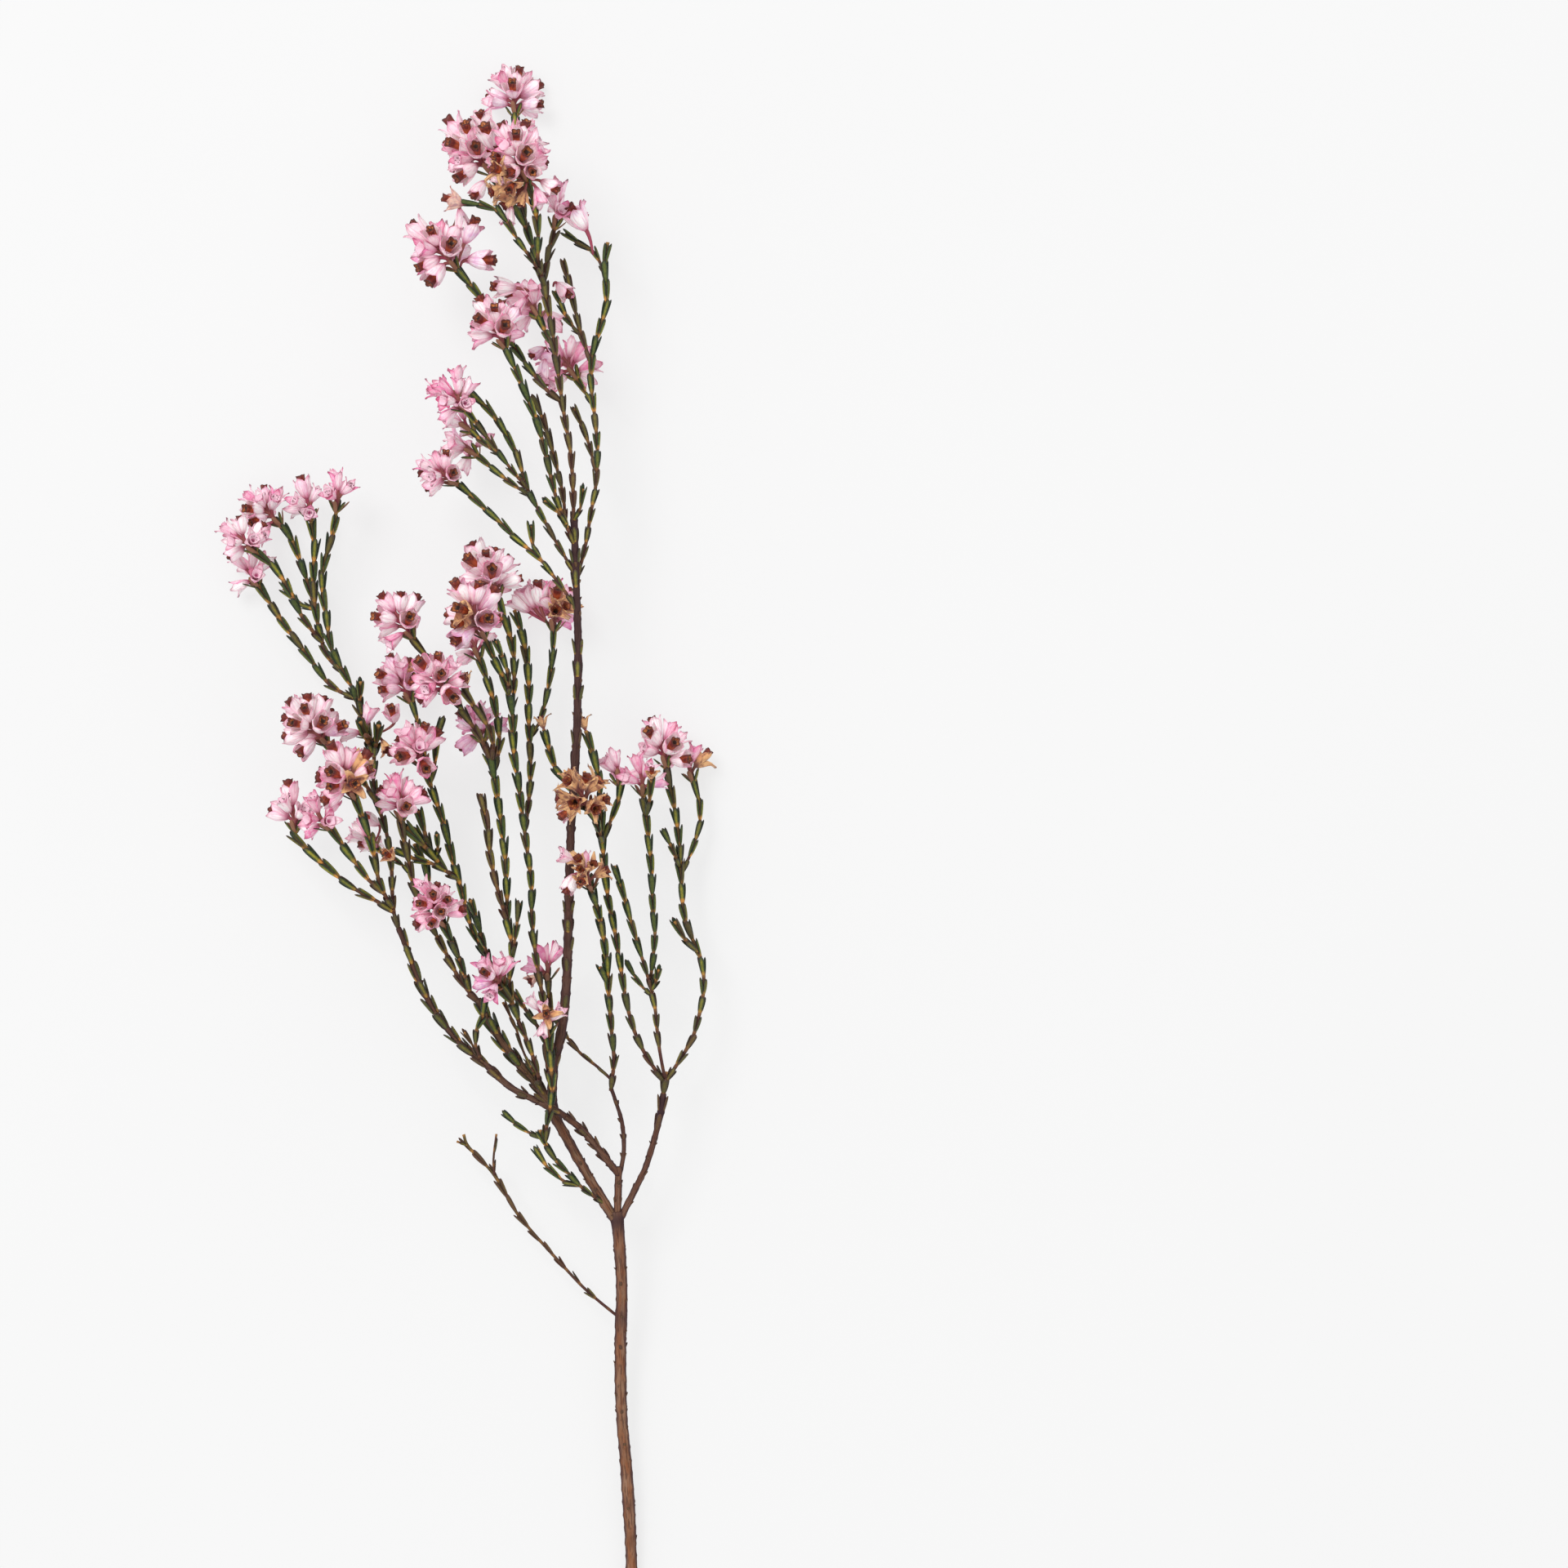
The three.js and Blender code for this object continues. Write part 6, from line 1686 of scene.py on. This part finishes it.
        # Ahead: a round foot, shorter where it is withered or splayed, with a ragged or blunt tip.
        blunt = 0.42 * chance(draw, 8) + 0.3 * dry
        ragged = np.tile([chance(draw, c + 30) - 0.5 for c in range(columns)], rows)
        ahead = np.repeat(self.petal_ahead, columns) + 0.1 * np.cos(cross * 3) - dry * along**3 * 0.8
        ahead = ahead * (0.94 + 0.12 * chance(draw, 3)) * (1 - 0.3 * flower.splay * along)
        ahead = ahead + along**6 * (ragged * 0.9 * (0.4 + blunt) - 0.35 * blunt)
        # Out: how far it opens and curls, its sides wrapped inwards, two sepals outside two.
        open_up = 0.94 + 0.2 * chance(draw, 1) + 0.5 * dry * (chance(draw, 5) - 0.2)
        curl = (chance(draw, 2) - 0.35) * 0.6 + dry * (chance(draw, 6) - 0.5) * 2.4
        stand = np.repeat(form.stand, columns) * (1 + (open_up - 1 + flower.splay) * along) + curl * along**5
        stand = stand - np.repeat(form.wrap, columns) * cross**2 * (1.0 + dry)
        stand = stand + (-0.05 if quarter % 2 else 0.07)
        wave = 0.16 * np.sin(along * 9 + draw + 2 * cross) * cross**2 * along * (1 + 2 * dry)
        keel = 0.16 * (1 - np.abs(cross)) ** 2 * np.sin(along * math.pi)
        # Across: its width, and a sway to one side.
        sway = (chance(draw, 4) - 0.5) * 0.4 * along**2
        wide = (np.repeat(form.half, columns) + 0.9 * blunt * along**7) * cross * (1 - 0.35 * dry) + sway
        turn = quarter * math.pi / 2
        up = np.cross(flower.forward, flower.side)
        out = flower.side * math.cos(turn) + up * math.sin(turn)
        across = np.cross(flower.forward, out)

        def lay(rise: Array) -> Array:
            """Return the points of one skin."""
            return flower.root + flower.size * (
                np.outer(ahead, flower.forward) + np.outer(rise, out) + np.outer(wide, across)
            )

        outer = lay(stand + wave + self.petal_thick / 2 + keel)
        inner = lay(stand + wave - self.petal_thick / 2)
        grain = np.stack((cross * 1.3 + draw * 4.7, np.zeros(rows * columns), ahead), axis=1)
        points = above(np.concatenate((outer, inner)), FLOWER_FLOOR)
        tint = (0.5 if flower.box else 0.8) * chance(draw, 7) ** 1.5 + flower.flush
        values = {"along": np.tile(along, 2), "edge": np.tile(np.abs(cross), 2), "tint": tint, "dry": dry}
        faces = self.sheet_faces(rows, columns)
        stock.add(points, faces, Part.SEPAL, np.concatenate((grain, grain)), **values)

    @staticmethod
    def sheet_faces(rows: int, columns: int) -> Faces:
        """Return the faces of a thin sheet with two skins and a rim between them.

        Args:
            rows: how many points it has along.
            columns: how many points it has across.

        Returns:
            The faces, with the inner skin's points counted on from the outer skin's.
        """
        count = rows * columns
        faces: Faces = []
        for r in range(rows - 1):
            for c in range(columns - 1):
                a = r * columns + c
                b = a + columns
                faces.append((a, b, b + 1, a + 1))
                faces.append((count + a, count + a + 1, count + b + 1, count + b))
        rim = list(range(columns)) + [r * columns + columns - 1 for r in range(1, rows)]
        rim += [count - 2 - c for c in range(columns - 1)] + [r * columns for r in range(rows - 2, 0, -1)]
        for a, b in zip(rim, rim[1:] + rim[:1], strict=True):
            faces.append((a, b, count + b, count + a))
        return faces

    def tube(self, stock: MeshStock, flower: Flower, draw: float, dry: float) -> None:
        """Add the hollow square tube in the middle of a flower, fresh or withered.

        Args:
            stock: where it goes.
            flower: the flower.
            draw: the number of its draws.
            dry: how withered the flower is.
        """
        rings = self.box_rings if flower.box else self.young_rings
        sides = self.box_sides if flower.box else self.young_sides
        angles = 2 * math.pi * np.arange(sides) / sides
        corner = np.abs(np.cos(2 * angles)) ** 1.4
        up = np.cross(flower.forward, flower.side)
        tall = 0.94 + 0.12 * chance(draw, 11)
        points, grain, along, edge = [], [], [], []
        for number, (ahead, radius, square, share, inside) in enumerate(rings):
            rough = 1 + 0.05 * np.sin(angles * 5 + draw + number)
            lobe = radius * (1 - 0.28 * square * (1 - corner)) * rough
            rise = ahead * tall + 0.24 * square * corner * (1 - inside)
            for i, angle in enumerate(angles):
                turned = angle + math.pi / 4
                aside = flower.side * (lobe[i] * math.cos(turned)) + up * (lobe[i] * math.sin(turned))
                points.append(flower.root + flower.size * (flower.forward * rise[i] + aside))
                grain.append((math.cos(angle) + draw * 2.3, math.sin(angle), ahead))
                along.append(share)
                edge.append(inside)
        placed = above(np.array(points), FLOWER_FLOOR)
        withered = 1.0 if flower.box or dry > 0 else 0.0
        values = {"along": along, "edge": edge, "tint": chance(draw, 12), "dry": withered}
        stock.add(placed, tube_faces(len(rings), sides), Part.TUBE, np.array(grain), **values)

    def anthers(self, stock: MeshStock, flower: Flower, draw: float) -> None:
        """Add the five small dark heads that show in the mouth of a young flower.

        Args:
            stock: where they go.
            flower: the flower.
            draw: the number of its draws.
        """
        up = np.cross(flower.forward, flower.side)
        faces = [(0, a, b) for a, b in ((1, 2), (2, 3), (3, 4), (4, 1))]
        faces += [(5, b, a) for a, b in ((1, 2), (2, 3), (3, 4), (4, 1))]
        for i in range(self.anther_count):
            angle = 2 * math.pi * (i + chance(draw, i + 50)) / self.anther_count
            out = flower.side * math.cos(angle) + up * math.sin(angle)
            ahead = self.anther_ahead + 0.5 * chance(draw, i + 55)
            centre = flower.root + flower.size * (flower.forward * ahead + out * self.anther_out)
            tip = flower.forward * self.anther_long
            wide = out * self.anther_wide
            high = np.cross(flower.forward, out) * self.anther_wide
            points = centre + np.array((tip, wide, high, -wide, -high, -tip))
            stock.add(points, faces, Part.TUBE, along=0.95, edge=0.0, dry=1.0)

    @staticmethod
    def stalk(
        stock: MeshStock, bend: tuple[Array, ...], radii: Pair, tint: float, dry: float
    ) -> None:
        """Add a curved stalk.

        Args:
            stock: where it goes.
            bend: its start, the point that it leans towards and its end.
            radii: its radius at the start and at the end.
            tint: how green it is.
            dry: how brown it is.
        """
        sides, rows = 7, 6
        points, grain = [], []
        for r in range(rows):
            share = r / (rows - 1)
            centre = bend[0] * (1 - share) ** 2 + bend[1] * (2 * share * (1 - share)) + bend[2] * share**2
            forward = unit((bend[1] - bend[0]) * (1 - share) + (bend[2] - bend[1]) * share)
            side = unit(np.cross(STALK_SLANT, forward))
            up = np.cross(forward, side)
            radius = radii[0] + (radii[1] - radii[0]) * share
            for i in range(sides):
                angle = 2 * math.pi * i / sides
                points.append(centre + side * (radius * math.cos(angle)) + up * (radius * math.sin(angle)))
                grain.append((math.cos(angle) * 0.4 + tint * 9, math.sin(angle) * 0.4, share * 3))
        placed = above(np.array(points), FLOWER_FLOOR)
        stock.add(placed, tube_faces(rows, sides), Part.STALK, np.array(grain), tint=tint * 0.35, dry=dry)

    @staticmethod
    def core(stock: MeshStock, back: Array, tip: Array, radius: float, seed: int) -> None:
        """Add the knobbly spindle in the middle of the head.

        Args:
            stock: where it goes.
            back: its end at the twig.
            tip: its far end.
            radius: how far out the flowers of the head have their roots.
            seed: the number of its draws.
        """
        sides, rows = 10, 9
        side, up = sides_of(unit(tip - back))
        points, grain = [], []
        for r in range(rows):
            share = r / (rows - 1)
            centre = back + (tip - back) * (0.02 + 0.96 * share)
            girth = radius * max(0.12, math.sin(math.pi * (0.04 + 0.92 * share))) ** 0.7 * 0.34
            for i in range(sides):
                angle = 2 * math.pi * (i + 0.5 * (r % 2)) / sides
                knob = girth * (0.9 + 0.2 * chance(seed + r, i + 60))
                points.append(centre + side * (knob * math.sin(angle)) + up * (knob * math.cos(angle)))
                grain.append((math.sin(angle), math.cos(angle), share * 6))
        placed = above(np.array(points), FLOWER_FLOOR)
        stock.add(placed, tube_faces(rows, sides), Part.STALK, np.array(grain), tint=0.3, dry=0.15)

    def build(self, head: Head, seed: int) -> Object:
        """Make one head.

        Args:
            head: the head's sizes.
            seed: the number of its draws.

        Returns:
            The piece.
        """
        stock = MeshStock()
        back, tip, flowers = self.place(head, seed)
        self.core(stock, back, tip, self.core_radius * head.size, seed)
        line = unit(tip - back)
        length = float(np.linalg.norm(tip - back))
        for number, flower in enumerate(flowers):
            draw = seed * 17.3 + number
            dry = 0.75 + 0.25 * chance(draw, 20) if chance(draw, 21) < head.dry else 0.0
            ahead = float(np.dot(flower.root - back, line)) - 2.2 * head.size
            self.flower(stock, flower, back + line * min(max(ahead, 0.1), length), draw, dry)
        for number, stray in enumerate(one for one in STRAYS if one.head == head.name):
            self.stray(stock, stray, seed * 7.9 + number + 0.5)
        self.bracts(stock, self.skeleton.axes[head.twig], seed)
        return stock.piece("blooms_" + head.name, self.finishes)

    def stray(self, stock: MeshStock, stray: Stray, draw: float) -> None:
        """Add a flower that stands apart.

        Args:
            stock: where it goes.
            stray: where it stands.
            draw: the number of its draws.
        """
        start, foot, mouth = (np.array(point) - MIDDLE for point in (stray.start, stray.foot, stray.mouth))
        forward = unit(mouth - foot)
        size = float(np.linalg.norm(mouth - foot)) / (self.petal_ahead[-1] - self.petal_ahead[0])
        side = turned_side(forward, chance(draw, 1))
        root = foot - forward * (self.petal_ahead[0] * size)
        self.flower(stock, Flower(root, forward, side, size, stray.box, stray.splay), start, draw, stray.dry)

    def bracts(self, stock: MeshStock, axis: Axis, seed: int) -> None:
        """Add the small leaves that close round the foot of the head.

        Args:
            stock: where they go.
            axis: the twig that carries the head.
            seed: the number of their draws.
        """
        form, along, edge, faces = self.leaves.leaf_form()
        forward = axis.forward(1.0)
        side, up = sides_of(forward)
        for i in range(6):
            angle = i * math.pi / 3 + 0.4 * chance(seed, i + 30)
            out = side * math.sin(angle) + up * math.cos(angle)
            lean = 0.25 + 0.2 * chance(seed, i + 40)
            points = (
                axis.point(1.0)
                + np.outer(form[0] * 0.62 - 0.5, forward)
                + np.outer(form[1] * 0.8 + form[0] * lean, out)
                + np.outer(form[2] * 0.9, np.cross(forward, out))
            )
            grain = np.stack((form[2] + i * 3.3 + seed, form[1], form[0]), axis=1)
            part = Part.LEAF if i % 2 else Part.STALK
            values = {"along": along, "edge": edge, "tint": 0.6, "dry": 0.15}
            stock.add(above(points, FLOWER_FLOOR), faces, part, grain, **values)


@dataclass
class Table:
    """The pale table top under the stem."""

    half: float = 3.0
    depth: float = 0.0002
    colour: Colour = srgb(124, 124, 124)
    shade: Colour = srgb(120, 120, 120)
    glow: float = 0.695
    rough: float = 0.9
    shine: float = 0.1

    def build(self) -> Object:
        """Make the table top, a plain matt sheet.

        Returns:
            The table top.
        """
        material, make, shader = new_material("table_white")
        place = make.node("TexCoord").outputs["Object"]
        noise = make.node("TexNoise", None, Vector=place, Scale=6.0, Detail=2.0)
        make.feed(shader.inputs["Base Color"], make.blend(noise.outputs["Fac"], self.colour, self.shade))
        make.feed(shader.inputs["Roughness"], self.rough)
        make.feed(shader.inputs["Specular IOR Level"], self.shine)
        make.feed(shader.inputs["Emission Color"], (1.0, 1.0, 1.0, 1.0))
        make.feed(shader.inputs["Emission Strength"], self.glow)
        turns = ((-1, -1), (1, -1), (1, 1), (-1, 1))
        corners = [(x * self.half, y * self.half, -self.depth) for x, y in turns]
        mesh = bpy.data.meshes.new("table_top")
        mesh.from_pydata(corners, [], [(0, 1, 2, 3)])
        mesh.materials.append(material)
        return put("table_top", mesh)


@dataclass(frozen=True)
class Lamp:
    """A square soft lamp: where it hangs, its size and its power."""

    name: str
    place: Point
    size: float
    power: float


@dataclass
class Studio:
    """The camera straight above, and soft white light from all sides."""

    view_centre: Pair = ((37.8 - MIDDLE[0]) * MM, (192.0 - MIDDLE[1]) * MM)
    view_width: float = 0.384
    true_height: float = 0.02
    farthest: float = 20.0
    lens: float = 150.0
    sensor: float = 36.0
    sky: float = 0.86
    lamps: tuple[Lamp, ...] = (
        Lamp("key", (-0.7, 0.9, 1.6), 0.8, 18.5),
        Lamp("fill", (1.3, -0.6, 1.5), 1.6, 2.0),
    )

    def camera(self) -> None:
        """Set the camera, whose view is right at the height of most of the stem."""
        data = bpy.data.cameras.new("camera")
        data.type = "PERSP"
        data.lens = self.lens
        data.sensor_width = self.sensor
        data.clip_end = self.farthest
        made = put("camera", data)
        away = self.view_width * self.lens / self.sensor
        made.location = (*self.view_centre, self.true_height + away)
        bpy.context.scene.camera = made

    def light(self) -> None:
        """Set the sky, and the lamps facing the middle of the view."""
        world = bpy.data.worlds.new("studio")
        world.use_nodes = True
        sky = world.node_tree.nodes["Background"]
        sky.inputs["Color"].default_value = (1.0, 1.0, 1.0, 1.0)
        sky.inputs["Strength"].default_value = self.sky
        bpy.context.scene.world = world
        bpy.context.scene.view_settings.view_transform = "Standard"
        for lamp in self.lamps:
            data = bpy.data.lights.new(lamp.name, "AREA")
            data.size = lamp.size
            data.energy = lamp.power
            made = put(lamp.name, data)
            made.location = lamp.place
            aim = Vector((*self.view_centre, 0.0)) - Vector(lamp.place)
            made.rotation_euler = aim.to_track_quat("-Z", "Y").to_euler()


def hand_over(piece: Object, node: str) -> None:
    """Hang a piece under the root, hide the model's part for the node that it stands for, and report it.

    Args:
        piece: the piece.
        node: the node.
    """
    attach(piece, "root")
    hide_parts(node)
    LOG.info("%s: %d faces", piece.name, len(piece.data.polygons))


def main() -> None:
    """Build the stem on its table and hand it over."""
    logging.basicConfig(level=logging.INFO, format="%(name)s: %(message)s")
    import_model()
    effects = Effects()
    finishes = {
        Part.BARK: BarkFinish(effects).material(),
        Part.TWIG: TwigFinish(effects).material(),
        Part.LEAF: LeafFinish(effects).material(),
        Part.SEPAL: SepalFinish(effects).material(),
        Part.TUBE: TubeFinish(effects).material(),
        Part.STALK: StalkFinish(effects).material(),
    }
    studio = Studio()
    studio.camera()
    studio.light()
    Table().build()
    skeleton = Skeleton()
    leaves = LeafySpray(skeleton, finishes)
    blooms = FlowerHead(skeleton, finishes, leaves)
    hand_over(WoodyStem(skeleton, finishes, leaves).build(), "woody_stem")
    for seed, name in enumerate(SPRAYS, start=1):
        hand_over(leaves.build(name, seed, blooms), name)
    for seed, head in enumerate(HEADS, start=1):
        hand_over(blooms.build(head, seed), "head_" + head.name)


if __name__ == "__main__":
    main()
